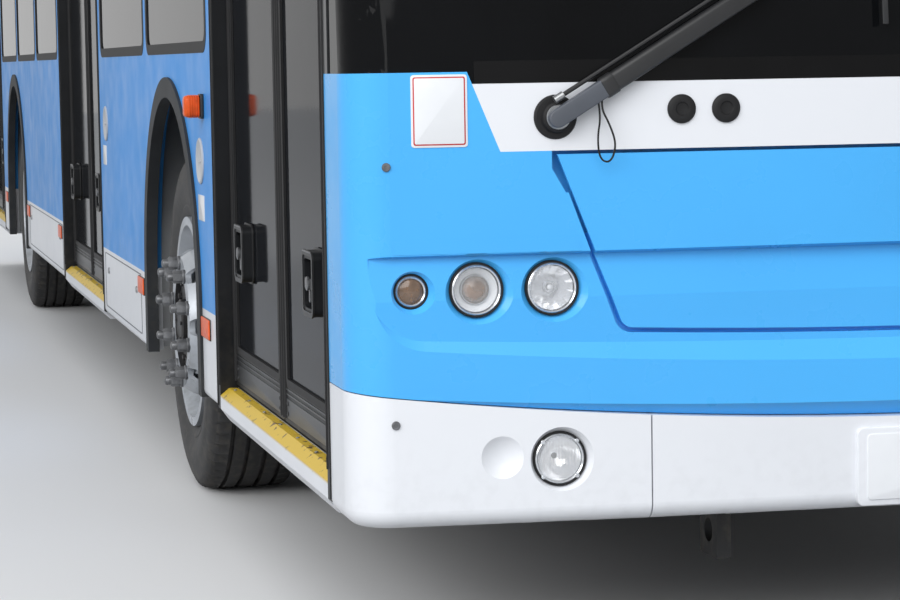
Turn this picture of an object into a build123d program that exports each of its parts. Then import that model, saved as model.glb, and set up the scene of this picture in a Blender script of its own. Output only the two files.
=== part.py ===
from build123d import *

import os
from math import cos, radians, sin, sqrt, tan

# Low-floor city trolleybus. +X is forward, +Y is the vehicle's left, +Z is up, in millimetres.
# The origin is on the ground under the middle of the body.

# Body shell
body_length = 12000.0
body_width = 2550.0
nose_x = body_length / 2
tail_x = -body_length / 2
half_width = body_width / 2
nose_bulge = 62.0  # how far the middle of the front stands ahead of its corners
corner_radius = 90.0
tail_radius = 160.0
side_wall = 45.0
roof_wall = 45.0
front_wall = 45.0
tail_wall = 45.0
roof_top_z = 2950.0
roof_crown = 45.0  # rise of the roof between its rounded edges
roof_edge_radius = 230.0
cant_rail_z = roof_top_z - 330.0  # joint between a side wall and the roof
skirt_bottom_z = 335.0
skirt_top_z = 571.0
skirt_edge_radius = 22.0
belt_z = 1243.0  # lower edge of the side windows
window_top_z = roof_top_z - 660.0
window_radius = 60.0
fit_gap = 0.3  # clearance of panes and lamps in their seats
moving_gap = 9.0  # clearance round a panel that opens

# Floor and frame
floor_top_z = 385.0
floor_sheet = 40.0
rail_depth = 55.0
rail_width = 90.0
rail_half_track = half_width - 805.0
cross_rail_pitch = 1500.0
wheel_box_wall = 14.0
wheel_box_half_length = 632.0
front_box_inner_y = half_width - 665.0
rear_box_inner_y = half_width - 730.0
wheel_box_top_z = 1195.0
frame_end = 250.0  # from the body's end to the end of a rail
bumper_bracket_z = 325.0
jack_pad_size = 150.0
jack_pad_depth = 20.0
jack_pad_x = 1150.0  # from an axle towards the middle of the body
tow_lug_thickness = 30.0
tow_lug_width = 110.0
tow_lug_drop = 105.0
tow_bore_radius = 25.0

# Front
bumper_bottom_z = 315.0
bumper_wall = 60.0
bumper_edge_radius = 34.0
bumper_top_centre_z = 496.0
bumper_top_corner_z = 578.0
bumper_split_y = half_width - 582.0
bumper_split_gap = 3.0
mask_gap = 2.0
mask_shoulder_z = 1185.0
shoulder_top_y = half_width - 231.0
shoulder_foot_y = half_width - 293.0
band_z = 1033.0  # joint between the blue mask and the white windscreen band
hatch_top_y = half_width - 400.0
hatch_bottom_y = half_width - 533.0
hatch_bottom_centre_z = 673.0
hatch_bottom_corner_z = 690.0
hatch_corner_radius = 26.0
hatch_wall = 38.0
hatch_top_gap = 7.0
hatch_seat = 15.0  # width of the mask's ledge behind the hatch
hatch_rim = 8.0  # thickness of the hatch along its upper sides
hatch_rim_width = 32.0
notch_out = 8.0  # relief in the mask at the hatch's upper corners
notch_drop = 80.0
notch_straight = 34.0
undercut_rise = 30.0  # height of the mask's turned-in lower edge at the middle
undercut_slope = 0.9
undercut_end_y = half_width - 125.0
recess_top_z = 842.0
recess_step = 8.0
recess_fold_z = 752.0
recess_fold_rise = 9.0
recess_depth_centre = 26.0
recess_depth_corner = 15.0
recess_end_y = half_width - 39.0
recess_end_radius = 95.0
lip_centre_z = 663.0
lip_corner_z = 686.0
lip_slope = 2.0  # drop of the lip for each unit it comes forward
windscreen_z = 1162.0
windscreen_top_z = roof_top_z - 390.0
windscreen_post = 40.0  # width of the post between windscreen and door
windscreen_rake = 5.0
brow_z = roof_top_z - 350.0  # where the front starts to turn into the roof
brow_reach = 300.0
pane_thickness = 8.0
pane_depth = 3.0  # how far a pane lies behind the face of its wall

# Lamps on one side of the front: name, Y, Z, bezel radius, dish radius
front_lamp_table = (
    ("side lamp", half_width - 122.0, 770.0, 34.0, 42.0),
    ("dipped beam", half_width - 247.0, 770.0, 53.0, 65.0),
    ("main beam", half_width - 394.0, 770.0, 53.0, 65.0),
)
fog_lamp_y = half_width - 402.0
fog_lamp_z = 441.0
fog_lamp_radius = 53.0
fog_dish_radius = 62.0
dimple_y = half_width - 285.0
dimple_z = 448.0
dimple_radius = 41.0
dimple_depth = 14.0
lamp_dish_depth = 12.0
lamp_set_back = 7.0  # how far a lamp's bezel lies behind the face round it
lamp_depth = 55.0
lamp_dome = 6.0
wiper_pivot_y = half_width - 400.0
wiper_pivot_z = 1097.0
wiper_arm_length = 760.0
wiper_arm_angle = 31.0
wiper_blade_length = 900.0
wiper_stand = 40.0
wiper_boot_radius = 35.0
wiper_arm_radius = 11.0
wiper_cover_radius = 19.0
wiper_cover_share = 0.55  # how much of the arm its cover takes
wiper_blade_radius = 9.0
end_reach = 20.0  # how far the wipers stand ahead of the nose and the lamps behind the tail
cap_z = 1108.0
cap_radius = 28.0
cap_ys = (half_width - 734.0, half_width - 646.0)
mirror_z = roof_top_z - 930.0
mirror_height = 380.0
mirror_width = 190.0
mirror_depth = 95.0
mirror_out = 60.0

# Doors: name, low X, high X. All are on the vehicle's right side.
door_table = (
    ("front", nose_x - 1847.0, nose_x - 280.0),
    ("middle", -251.0, 1356.0),
    ("rear", tail_x + 650.0, tail_x + 2150.0),
)
door_post = 42.0
door_frame_depth = 92.0
door_head_z = window_top_z
door_head_height = 110.0
leaf_recess = 40.0
leaf_thickness = 36.0
leaf_bottom_z = 402.0
leaf_gap = 9.0
leaf_stile = 44.0
leaf_head = 70.0
kick_panel_z = 492.0
leaf_hinge_inset = 20.0
leaf_hinge_behind = 6.0
leaf_post_radius = 13.0
leaf_pane = 8.0
leaf_pane_depth = 4.0
handle_width = 120.0
handle_height = 135.0
handle_proud = 25.0
handle_wall = 16.0
handle_z = 750.0
handle_from_post = 255.0
step_top_z = 392.0
step_crease_z = 374.0
step_bottom_z = 340.0
step_slope = 22.0
sill_bottom_z = 310.0

# Rows of equal side windows: number, and the space from a doorway or the tail
window_pillar = 70.0
window_from_door = 75.0
window_from_end = 400.0
left_window_count = 8
rear_right_window_count = 3
front_right_window_count = 2
rear_window_half_width = half_width - 315.0
rear_window_z = 1380.0
rear_window_top_z = roof_top_z - 570.0

# Running gear
front_axle_x = nose_x - 2720.0
rear_axle_x = tail_x + 3140.0
tyre_diameter = 956.0
tyre_width = 275.0
tyre_bead_radius = 286.0
rim_flange_radius = 298.5
rim_wall = 12.0
rim_well_radius = 246.0
wheel_outer_y = half_width - 40.0
twin_gap = 42.0
disc_thickness = 16.0
hub_radius = 138.0
hand_hole_radius = 26.0
hand_hole_circle = 205.0
hand_hole_count = 8
spindle_radius = 40.0
running_clearance = 0.4
kingpin_y = wheel_outer_y - 263.0
kingpin_radius = 22.0
knuckle_boss_radius = 46.0
knuckle_boss_height = 150.0
knuckle_gap = 6.0
steering_arm_length = 200.0
steering_arm_out = 10.0
steering_arm_drop = 40.0
steering_arm_radius = 18.0
beam_width = 120.0
beam_height = 75.0
beam_bottom_z = 205.0
arch_radius = 617.0
arch_flange = 57.0
arch_centre_z = 556.0
arch_flange_thickness = 34.0
arch_flange_proud = 8.0
axle_riser = 70.0
rear_riser_outer_y = wheel_outer_y - 595.0
rear_spindle_radius = 52.0

# Current collection
pole_half_track = 300.0
pole_base_x = nose_x - 5480.0
pole_pivot_z = roof_top_z + 490.0
pole_length = 6080.0
pole_root_radius = 32.0
pole_tip_radius = 19.0
pole_tail = 260.0
pole_head_half_length = 65.0
pole_head_half_width = 24.0
pole_head_rise = 62.0
pole_pin_radius = 14.0
pole_side_count = 12
collector_base_length = 900.0
collector_base_width = 1150.0
collector_frame_height = 260.0
swivel_radius = 120.0
swivel_height = 60.0
pole_ear_thickness = 24.0
rest_bar_x = tail_x + 1000.0
rest_bar_width = 60.0
rest_bar_clearance = 8.0

wheel_z = tyre_diameter / 2
inner_side_y = half_width - side_wall
door_high_x = max(high for name, low, high in door_table)
nose_corner_x = nose_x - nose_bulge
front_arc_radius = (half_width**2 + nose_bulge**2) / (2 * nose_bulge)
tail_joint_x = tail_x + tail_radius
corner_start_y = half_width - corner_radius
nose_fall = front_arc_radius - sqrt(front_arc_radius**2 - corner_start_y**2)
recess_fall = nose_fall + recess_depth_corner - recess_depth_centre
recess_radius = (corner_start_y**2 + recess_fall**2) / (2 * recess_fall)
floor_bottom_z = floor_top_z - floor_sheet
rail_bottom_z = floor_bottom_z - rail_depth
sides = ((-1, "right"), (1, "left"))
axles = (front_axle_x, rear_axle_x)
box_inner_y = {front_axle_x: front_box_inner_y, rear_axle_x: rear_box_inner_y}
big = 4000.0  # half the size of tools that reach past the whole body


def block(x0, x1, y0, y1, z0, z1):
    """A box between two corners."""
    return Pos((x0 + x1) / 2, (y0 + y1) / 2, (z0 + z1) / 2) * Box(x1 - x0, y1 - y0, z1 - z0)


def rectangle(u0, u1, v0, v1, radius=0.0):
    """A flat rectangle between two corners, with rounded corners if a radius is given."""
    middle = Pos((u0 + u1) / 2, (v0 + v1) / 2)
    if radius:
        return middle * RectangleRounded(u1 - u0, v1 - v0, radius)
    return middle * Rectangle(u1 - u0, v1 - v0)


def across(outline, y0, y1):
    """Extrudes a side-view outline (x, z) from y0 to y1."""
    return Pos(0, max(y0, y1), 0) * extrude(Plane.XZ * outline, amount=abs(y1 - y0))


def along(outline, x0, x1):
    """Extrudes a front-view outline (y, z) from x0 to x1."""
    return extrude(Plane.YZ.offset(x0) * outline, amount=x1 - x0)


def side_sheet(outline, side, thickness=side_wall, outer=half_width):
    """A wall of the given side-view outline whose outer face is at the body's side."""
    return across(outline, side * (outer - thickness), side * outer)


def rod(start, end, radius):
    """A round bar from one point to another."""
    path = Vector(*end) - Vector(*start)
    plane = Plane(origin=start, z_dir=path)
    return plane * Cylinder(radius, path.length, align=(Align.CENTER, Align.CENTER, Align.MIN))


def plan_outline(inset, tail=tail_x):
    """The body seen from above, drawn in by inset, with its bowed nose and rounded corners."""
    side = half_width - inset
    corner_x = nose_corner_x - inset
    back = tail + inset
    bow = ThreePointArc((corner_x, side), (nose_x - inset, 0), (corner_x, -side))
    rest = Polyline((corner_x, -side), (back, -side), (back, side), (corner_x, side))
    outline = make_face([bow, *rest.edges()])
    front = outline.vertices().sort_by(Axis.X)[-2:]
    outline = fillet(front, max(corner_radius - inset, 1.0))
    rear = outline.vertices().sort_by(Axis.X)[:2]
    return fillet(rear, max(tail_radius - inset, 1.0))


def section_outline(inset):
    """The body's cross-section above the skirts, drawn in by inset, with its crowned roof."""
    side = half_width - inset
    top = roof_top_z - inset
    edge_top = top - roof_crown
    left = Polyline((side, edge_top), (side, 0), (-side, 0), (-side, edge_top))
    crown = ThreePointArc((-side, edge_top), (0, top), (side, edge_top))
    outline = make_face([*left.edges(), crown])
    shoulders = outline.vertices().sort_by(Axis.Y)[-2:]
    return fillet(shoulders, max(roof_edge_radius - inset, 1.0))


def brow_outline(inset):
    """The body seen from the side, drawn in by inset, where the front turns into the roof."""
    slope = tan(radians(windscreen_rake))
    foot_x = nose_x - (brow_z - windscreen_z) * slope - inset
    top = roof_top_z - inset
    low = Polyline((nose_x, 0), (nose_x, brow_z), (foot_x, brow_z))
    bow = TangentArc((foot_x, brow_z), (foot_x - brow_reach, top), tangent=(-slope, 1))
    back = Polyline((foot_x - brow_reach, top), (tail_x, top), (tail_x, 0), (nose_x, 0))
    return make_face([*low.edges(), bow, *back.edges()])


def front_ring(wall):
    """The upright part of the front, from the bumper to the windscreen, as a bent wall."""
    outer = extrude(plan_outline(0), amount=roof_top_z)
    inner = extrude(plan_outline(wall), amount=roof_top_z)
    ahead_of_door = block(door_high_x, nose_x + big, -big, big, 0, roof_top_z)
    return (outer - inner) & ahead_of_door


def raked(outline, z0, z1):
    """Extrudes a plan outline upwards from z0 to z1, leaning back with the windscreen."""
    lean = (-tan(radians(windscreen_rake)), 0, 1)
    length = sqrt(1 + lean[0] ** 2)
    amount = (z1 - z0) * length
    return Pos(0, 0, z0) * extrude(outline, amount=amount, dir=(lean[0] / length, 0, 1 / length))


def bumper_top_edge(rise):
    """The arc between bumper and mask in front view, lifted by rise."""
    corner = bumper_top_corner_z + rise
    return ThreePointArc(
        (-half_width, corner), (0, bumper_top_centre_z + rise), (half_width, corner)
    )


def below_bumper_edge(rise):
    """The front-view area under the arc between bumper and mask."""
    corner = bumper_top_corner_z + rise
    sides_and_foot = Polyline((half_width, corner), (half_width, 0), (-half_width, 0), (-half_width, corner))
    return make_face([bumper_top_edge(rise), *sides_and_foot.edges()])


def hatch_outline(grow):
    """The service hatch in front view: slanted sides and a bowed foot, grown outwards by grow."""
    top_z = band_z + 2 * grow
    slant = (hatch_top_y - hatch_bottom_y) / (band_z - hatch_bottom_corner_z)
    top_y = hatch_top_y + grow + slant * grow
    foot_y = hatch_bottom_y + grow
    foot_z = hatch_bottom_corner_z - grow
    upper = Polyline((foot_y, foot_z), (top_y, top_z), (-top_y, top_z), (-foot_y, foot_z))
    foot = ThreePointArc((-foot_y, foot_z), (0, hatch_bottom_centre_z - grow), (foot_y, foot_z))
    outline = make_face([*upper.edges(), foot])
    low = outline.vertices().sort_by(Axis.Y)[:2]
    return fillet(low, max(hatch_corner_radius + grow, pane_thickness))


def mask_outline():
    """The blue mask in front view: level under the band, with a raised shoulder at each end."""
    points = [(half_width, 0), (half_width, mask_shoulder_z), (shoulder_top_y, mask_shoulder_z)]
    points += [(shoulder_foot_y, band_z)]
    points += [(-y, z) for y, z in reversed(points)]
    return make_face(Polyline(*points, close=True))


def recess_tool():
    """What is cut out of mask and hatch: a shallow bay with a fold, a top step and a slanted lip.

    The bay's floor bows less than the nose, so it runs out at the corners, and the lip widens
    towards the middle as the bay gets deeper."""
    floor_x = nose_x - recess_depth_centre
    radius = recess_radius
    fall = recess_fall
    front = radius + 2 * recess_depth_centre
    profile = make_face(
        Polyline(
            (front, recess_top_z),
            (radius + recess_depth_centre, recess_top_z),
            (radius, recess_top_z - recess_step),
            (radius + recess_fold_rise, recess_fold_z),
            (radius + recess_fold_rise / 2, lip_centre_z - 2 * recess_depth_centre),
            (front, lip_centre_z - 2 * recess_depth_centre),
            close=True,
        )
    )
    half_turn = 8.0
    turned = revolve(Plane.XZ * profile, axis=Axis.Z, revolution_arc=2 * half_turn)
    bay = Pos(floor_x - radius, 0, 0) * Rot(0, 0, -half_turn) * turned
    # The lip leans forwards, so its lower bound is drawn on the plane of the bay's floor
    # and carried obliquely; the plan's fall at the corners is taken back from the arc.
    corner_lip_z = lip_corner_z - lip_slope * fall
    arc = ThreePointArc((-recess_end_y, corner_lip_z), (0, lip_centre_z), (recess_end_y, corner_lip_z))
    ends = Polyline(
        (recess_end_y, corner_lip_z),
        (recess_end_y, roof_top_z),
        (-recess_end_y, roof_top_z),
        (-recess_end_y, corner_lip_z),
    )
    window = make_face([arc, *ends.edges()])
    window = fillet(window.vertices().sort_by(Axis.Y)[:2], recess_end_radius)
    back = 200.0
    lean = Vector(1, 0, -lip_slope).normalized()
    reach = 2 * back * sqrt(1 + lip_slope**2)
    start = Plane(origin=(floor_x - back, 0, lip_slope * back), x_dir=(0, 1, 0), z_dir=(1, 0, 0))
    funnel = extrude(start * window, amount=reach, dir=lean)
    return bay & funnel


def lamp_face_x(y, depth):
    """X of the front's skin at a distance from the middle, less a depth."""
    bow = front_arc_radius - sqrt(front_arc_radius**2 - y**2)
    corner = max(0.0, abs(y) - (half_width - corner_radius))
    turn = corner_radius - sqrt(corner_radius**2 - corner**2)
    return nose_x - bow - turn - depth


def dished_hole(y, z, bezel, dish, face_x):
    """A lamp's hole and its cone, as one cutting tool."""
    turned_x = Rot(0, 90, 0)
    hole = Pos(face_x, y, z) * turned_x * Cylinder(bezel + fit_gap, 6 * lamp_depth)
    cone_height = 2 * lamp_dish_depth
    wide = bezel + (dish - bezel) * cone_height / lamp_dish_depth
    align = (Align.CENTER, Align.CENTER, Align.MIN)
    cone = Pos(face_x - lamp_dish_depth, y, z) * turned_x * Cone(bezel, wide, cone_height, align=align)
    return hole + cone


def lamp_body(y, z, bezel, face_x):
    """A round lamp: a can with a slightly domed lens."""
    dome_radius = (bezel**2 + lamp_dome**2) / (2 * lamp_dome)
    half_rise = sqrt(dome_radius**2 - (bezel / 2) ** 2) - dome_radius + lamp_dome
    profile = make_face(
        [
            Line((0, -lamp_depth), (bezel, -lamp_depth)),
            Line((bezel, -lamp_depth), (bezel, 0)),
            ThreePointArc((bezel, 0), (bezel / 2, half_rise), (0, lamp_dome)),
            Line((0, lamp_dome), (0, -lamp_depth)),
        ]
    )
    turned = revolve(profile, axis=Axis.Y)
    return Pos(face_x, y, z) * Rot(0, 0, -90) * turned


def lamp_seats():
    """Y, Z, bezel, dish and the bay's X at each round lamp on one side of the mask."""
    rows = []
    low_z = recess_top_z - recess_step
    for name, y, z, bezel, dish in front_lamp_table:
        rise = recess_fold_rise * (low_z - z) / (low_z - recess_fold_z)
        fall = recess_radius - sqrt(recess_radius**2 - y**2)
        rows.append((y, z, bezel, dish, nose_x - recess_depth_centre - fall + rise))
    return rows


def outer_edges(edges):
    """Those of a front ring's level edges that lie on its outer skin."""
    middle = plan_outline(bumper_wall / 2)
    skin = middle.bounding_box()
    return [
        edge
        for edge in edges
        if edge.center().X > skin.max.X - nose_bulge / 2
        and edge.center().X > nose_x - bumper_wall + nose_bulge / 3
        or abs(edge.center().Y) > skin.max.Y
    ]


def hatch_opening():
    """The hatch's opening in front view, wider beside the upper corners, which swing down as it lifts."""
    y, z = hatch_top_y, band_z
    opening = hatch_outline(moving_gap)
    tip = notch_drop * (hatch_top_y - hatch_bottom_y) / (band_z - hatch_bottom_corner_z) - 1.4 * moving_gap
    corners = [(y + notch_out, z + 10), (y + notch_out, z - notch_straight), (y - tip, z - notch_drop)]
    for side, word in sides:
        points = [(side * u, v) for u, v in [(0, z + 10), *corners, (0, z - notch_drop)]]
        opening += make_face(Polyline(*points, close=True))
    return opening


def hatch_relief():
    """What is taken off behind the hatch's upper sides, so that its edge is thin there."""
    layer = front_ring(front_wall) - front_ring(hatch_rim)
    border = hatch_outline(moving_gap) - hatch_outline(-hatch_rim_width)
    above = block(0, nose_x + big, -big, big, recess_top_z + hatch_rim_width, roof_top_z)
    return (layer & along(border, 0, nose_x + big)) & above


def mask_undercut():
    """What turns the mask's lower edge inwards: a slanted cut that runs out at the corners."""
    y = undercut_end_y
    fall = front_arc_radius - sqrt(front_arc_radius**2 - y**2)
    rise = (y / half_width) ** 2 * (bumper_top_corner_z - bumper_top_centre_z)
    end_z = bumper_top_centre_z + rise + mask_gap + undercut_slope * fall
    middle_z = bumper_top_centre_z + mask_gap + undercut_rise
    arc = ThreePointArc((-y, end_z), (0, middle_z), (y, end_z))
    foot = Polyline((y, end_z), (y, 0), (-y, 0), (-y, end_z))
    reach = 2 * front_wall + nose_bulge
    start = Plane(origin=(nose_x, 0, 0), x_dir=(0, 1, 0), z_dir=(1, 0, 0))
    back = Vector(-1, 0, -undercut_slope).normalized()
    length = reach * sqrt(1 + undercut_slope**2)
    return extrude(start * make_face([arc, *foot.edges()]), amount=length, dir=back)


def front_pieces():
    """Mask, hatch and bumper of the front."""
    ring = front_ring(front_wall)
    recess = recess_tool()
    edge_rise = mask_gap
    mask = ring & along(mask_outline(), 0, nose_x + big)
    mask -= along(below_bumper_edge(edge_rise), 0, nose_x + big)
    mask -= along(hatch_outline(-hatch_seat), 0, nose_x + big)
    mask -= front_ring(hatch_wall + fit_gap) & along(hatch_opening(), 0, nose_x + big)
    mask -= recess
    mask -= mask_undercut()
    for y, z, bezel, dish, face_x in lamp_seats():
        for side, word in sides:
            mask -= dished_hole(side * y, z, bezel, dish, face_x)
    hatch = front_ring(hatch_wall) & along(hatch_outline(0), 0, nose_x + big)
    hatch -= block(0, nose_x + big, -big, big, band_z - hatch_top_gap, roof_top_z)
    hatch -= recess
    hatch -= hatch_relief()
    bumper = front_ring(bumper_wall) & along(below_bumper_edge(0), 0, nose_x + big)
    bumper -= block(0, nose_x + big, -big, big, 0, bumper_bottom_z)
    bumper = fillet(outer_edges(bumper.edges().group_by(Axis.Z)[0]), bumper_edge_radius)
    for side, word in sides:
        split = side * bumper_split_y
        bumper -= block(0, nose_x + big, split - bumper_split_gap / 2, split + bumper_split_gap / 2, 0, big)
        fog_x = lamp_face_x(fog_lamp_y, 0)
        bumper -= dished_hole(side * fog_lamp_y, fog_lamp_z, fog_lamp_radius, fog_dish_radius, fog_x)
        ball = (dimple_radius**2 + dimple_depth**2) / (2 * dimple_depth)
        bumper -= Pos(lamp_face_x(dimple_y, dimple_depth) + ball, side * dimple_y, dimple_z) * Sphere(ball)
    return mask, hatch, bumper


def windscreen_outline(shrink):
    """The windscreen's opening in front view. It runs past both sides of the body."""
    wide = half_width + front_wall
    return rectangle(-wide, wide, windscreen_z + shrink, windscreen_top_z - shrink)


def upper_front_solid(inset, back_x, low_z):
    """The front above low_z and ahead of back_x, drawn in by inset, as one solid."""
    margin = 2 * front_wall
    wide = half_width + margin
    ahead = block(back_x, nose_x + margin, -wide, wide, low_z, roof_top_z + margin)
    upright = Pos(0, 0, low_z) * extrude(plan_outline(inset), amount=windscreen_z - low_z) & ahead
    leaning = raked(plan_outline(inset), windscreen_z, roof_top_z) & ahead
    leaning &= across(brow_outline(inset), -wide, wide)
    leaning &= along(section_outline(inset), back_x - margin, nose_x + margin)
    return upright + leaning


def windscreen_frame():
    """The white band under the windscreen and, over the mask's shoulders, its posts and brow."""
    shell = upper_front_solid(0, door_high_x, band_z) - upper_front_solid(front_wall, door_high_x, band_z)
    shell -= along(mask_outline(), door_high_x - front_wall, nose_x + front_wall)
    return shell - along(windscreen_outline(0), door_high_x + windscreen_post, nose_x + front_wall)


def windscreen_pane():
    """The windscreen, bowed and wrapped round both corners."""
    low_z = windscreen_z - front_wall
    outer = upper_front_solid(pane_depth, door_high_x, low_z)
    shell = outer - upper_front_solid(pane_depth + pane_thickness, door_high_x, low_z)
    ahead = along(windscreen_outline(fit_gap), door_high_x + windscreen_post + fit_gap, nose_x + front_wall)
    return (shell & ahead) - along(mask_outline(), door_high_x, nose_x + front_wall)


def arch_outline(x, radius):
    """A wheel arch in side view: round above its centre and straight below."""
    top = Pos(x, arch_centre_z) * Circle(radius)
    return top + rectangle(x - radius, x + radius, 0, arch_centre_z)


def arches(radius):
    """All wheel arches in side view."""
    return arch_outline(front_axle_x, radius) + arch_outline(rear_axle_x, radius)


def doorways(side, low_z):
    """The door openings of one side in side view, or nothing on the side without doors."""
    if side > 0:
        return []
    return [rectangle(low, high, low_z, door_head_z + door_head_height) for name, low, high in door_table]


def window_row(low, high, count):
    """Low and high X of equal windows with a pillar between each two."""
    pitch = (high - low + window_pillar) / count
    return [(low + n * pitch, low + (n + 1) * pitch - window_pillar) for n in range(count)]


def side_windows(side):
    """Low and high X of each window of one side."""
    door = {name: (low, high) for name, low, high in door_table}
    gap = window_from_door
    if side < 0:
        rear = window_row(door["rear"][1] + gap, door["middle"][0] - gap, rear_right_window_count)
        return rear + window_row(door["middle"][1] + gap, door["front"][0] - gap, front_right_window_count)
    row = window_row(tail_x + window_from_end, partition_x - partition_thickness, left_window_count)
    return [*row, (partition_x + 230.0, nose_x - window_from_end)]


def side_wall_panel(side):
    """A side wall from the skirt to the cant rail, with its windows, doors and arches cut."""
    outline = rectangle(tail_joint_x, door_high_x, skirt_top_z, cant_rail_z)
    outline -= arches(arch_radius)
    for doorway in doorways(side, 0):
        outline -= doorway
    for low, high in side_windows(side):
        outline -= rectangle(low, high, belt_z, window_top_z, window_radius)
    return side_sheet(outline, side)


def skirt_panels():
    """The white skirts of both sides, with their lower edges rounded."""
    panels = []
    for side, word in sides:
        outline = rectangle(tail_joint_x, door_high_x, skirt_bottom_z, skirt_top_z)
        outline -= arches(arch_radius)
        for doorway in doorways(side, 0):
            outline -= doorway
        sheet = side_sheet(outline, side)
        low_outer = [
            edge
            for edge in sheet.edges().filter_by(Axis.X).group_by(Axis.Z)[0]
            if abs(edge.center().Y) > half_width - side_wall / 2
        ]
        panels += fillet(low_outer, skirt_edge_radius).solids()
    return Compound(panels)


def roof_shell():
    """The roof between the windscreen frame and the rear wall."""
    hoop = section_outline(0) - section_outline(roof_wall)
    hoop &= rectangle(-half_width, half_width, cant_rail_z, roof_top_z)
    return along(hoop, tail_joint_x, door_high_x)


def rear_outline():
    """The rear wall's window in front view."""
    half = rear_window_half_width
    return rectangle(-half, half, rear_window_z, rear_window_top_z, window_radius * 2)


def rear_pieces():
    """Rear wall with its window cut, and the rear bumper."""
    behind = block(tail_x - big, tail_joint_x, -big, big, 0, roof_top_z)
    outer = extrude(plan_outline(0), amount=roof_top_z) & along(section_outline(0), tail_x, 0)
    inner = extrude(plan_outline(tail_wall), amount=roof_top_z) & along(section_outline(tail_wall), tail_x, 0)
    shell = (outer - inner) & behind
    wall = shell - block(tail_x - big, 0, -big, big, 0, skirt_top_z)
    wall -= along(rear_outline(), tail_x - big, tail_joint_x)
    for side, word in sides:
        for z, radius in rear_lamp_table:
            wall -= rear_lamp_can(side, z, radius + fit_gap)
    bumper = shell & block(tail_x - big, tail_joint_x, -big, big, skirt_bottom_z, skirt_top_z)
    return wall, bumper


rear_lamp_table = ((760.0, 56.0), (900.0, 56.0), (1040.0, 56.0))  # Z, radius
rear_lamp_y = half_width - 265.0
rear_lamp_seat_depth = 30.0


def rear_lamp_can(side, z, radius):
    """One round rear lamp, also the tool that cuts its seat."""
    y = side * rear_lamp_y
    return rod((tail_x - end_reach, y, z), (tail_x + rear_lamp_seat_depth, y, z), radius)


def panes():
    """Windscreen, side panes and rear pane, none touching another."""
    glass = windscreen_pane().solids()
    outer = half_width - pane_depth
    for side, word in sides:
        for low, high in side_windows(side):
            outline = rectangle(
                low + fit_gap, high - fit_gap, belt_z + fit_gap, window_top_z - fit_gap, window_radius
            )
            glass += side_sheet(outline, side, pane_thickness, outer).solids()
    rear_x = tail_x + pane_depth
    half = rear_window_half_width - fit_gap
    rear = rectangle(
        -half, half, rear_window_z + fit_gap, rear_window_top_z - fit_gap, window_radius * 2
    )
    glass += along(rear, rear_x, rear_x + pane_thickness).solids()
    return Compound(glass)


def front_lamps():
    """The round lamps of the mask and the fog lamps of the bumper."""
    lamps = []
    for side, word in sides:
        for y, z, bezel, dish, face_x in lamp_seats():
            lamps.append(lamp_body(side * y, z, bezel, face_x - lamp_set_back))
        fog_x = lamp_face_x(fog_lamp_y, lamp_set_back)
        lamps.append(lamp_body(side * fog_lamp_y, fog_lamp_z, fog_lamp_radius, fog_x))
    return Compound([solid for lamp in lamps for solid in lamp.solids()])


def rear_lamps():
    """Three round lamps at each rear corner."""
    cans = []
    for side, word in sides:
        cans += [rear_lamp_can(side, z, radius) for z, radius in rear_lamp_table]
    return Compound([solid for can in cans for solid in can.solids()])


def arch_trims():
    """The grey rubber lips of the wheel arches."""
    trims = []
    for side, word in sides:
        for x in axles:
            outline = arch_outline(x, arch_radius) - arch_outline(x, arch_radius - arch_flange)
            outline &= rectangle(x - big, x + big, skirt_bottom_z, roof_top_z)
            outer = half_width + arch_flange_proud
            trims += side_sheet(outline, side, arch_flange_thickness, outer).solids()
    return Compound(trims)


# Orange side markers as (X, Z, length, height, how far it stands proud)
front_door_low_x = door_high_x - 1567.0
marker_table = (
    (front_door_low_x - 163.0, 1100.0, 50.0, 64.0, 50.0),
    (front_door_low_x - 179.0, 524.0, 150.0, 55.0, 6.0),
    (front_axle_x - 760.0, 524.0, 150.0, 55.0, 6.0),
    (-400.0, 524.0, 150.0, 55.0, 6.0),
    (rear_axle_x + 730.0, 524.0, 150.0, 55.0, 6.0),
    (rear_axle_x - 800.0, 524.0, 150.0, 55.0, 6.0),
    (tail_x + 400.0, 524.0, 150.0, 55.0, 6.0),
)


def side_markers():
    """Side lamps and reflectors on both sides."""
    markers = []
    for side, word in sides:
        for x, z, length, height, proud in marker_table:
            outline = rectangle(x - length / 2, x + length / 2, z - height / 2, z + height / 2)
            markers += side_sheet(outline, side, proud, half_width + proud).solids()
    return Compound(markers)


def door_frames():
    """The black frames of the doorways: two posts and a head each."""
    frames = []
    for name, low, high in door_table:
        top = door_head_z + door_head_height
        outline = rectangle(low, high, step_bottom_z, top)
        outline -= rectangle(low + door_post, high - door_post, 0, door_head_z)
        frames += side_sheet(outline, -1, door_frame_depth).solids()
    return Compound(frames)


def door_steps():
    """The yellow step edges of the doorways with the sill under them."""
    steps = []
    inner = half_width - door_frame_depth
    for name, low, high in door_table:
        profile = make_face(
            Polyline(
                (-inner, step_top_z),
                (-half_width + step_slope, step_top_z),
                (-half_width, step_crease_z),
                (-half_width, step_bottom_z),
                (-half_width + skirt_edge_radius, sill_bottom_z),
                (-inner, sill_bottom_z),
                close=True,
            )
        )
        steps += along(profile, low + door_post, high - door_post).solids()
    return Compound(steps)


def leaf_spans(low, high):
    """Low X, high X, hinge X and which way the leaf points, for the two leaves of a doorway."""
    middle = (low + high) / 2
    first = low + door_post + leaf_gap
    last = high - door_post - leaf_gap
    aft = (first, middle - leaf_gap / 2, first + leaf_hinge_inset, 1)
    fore = (middle + leaf_gap / 2, last, last - leaf_hinge_inset, -1)
    return (("fore", fore), ("aft", aft))


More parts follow.
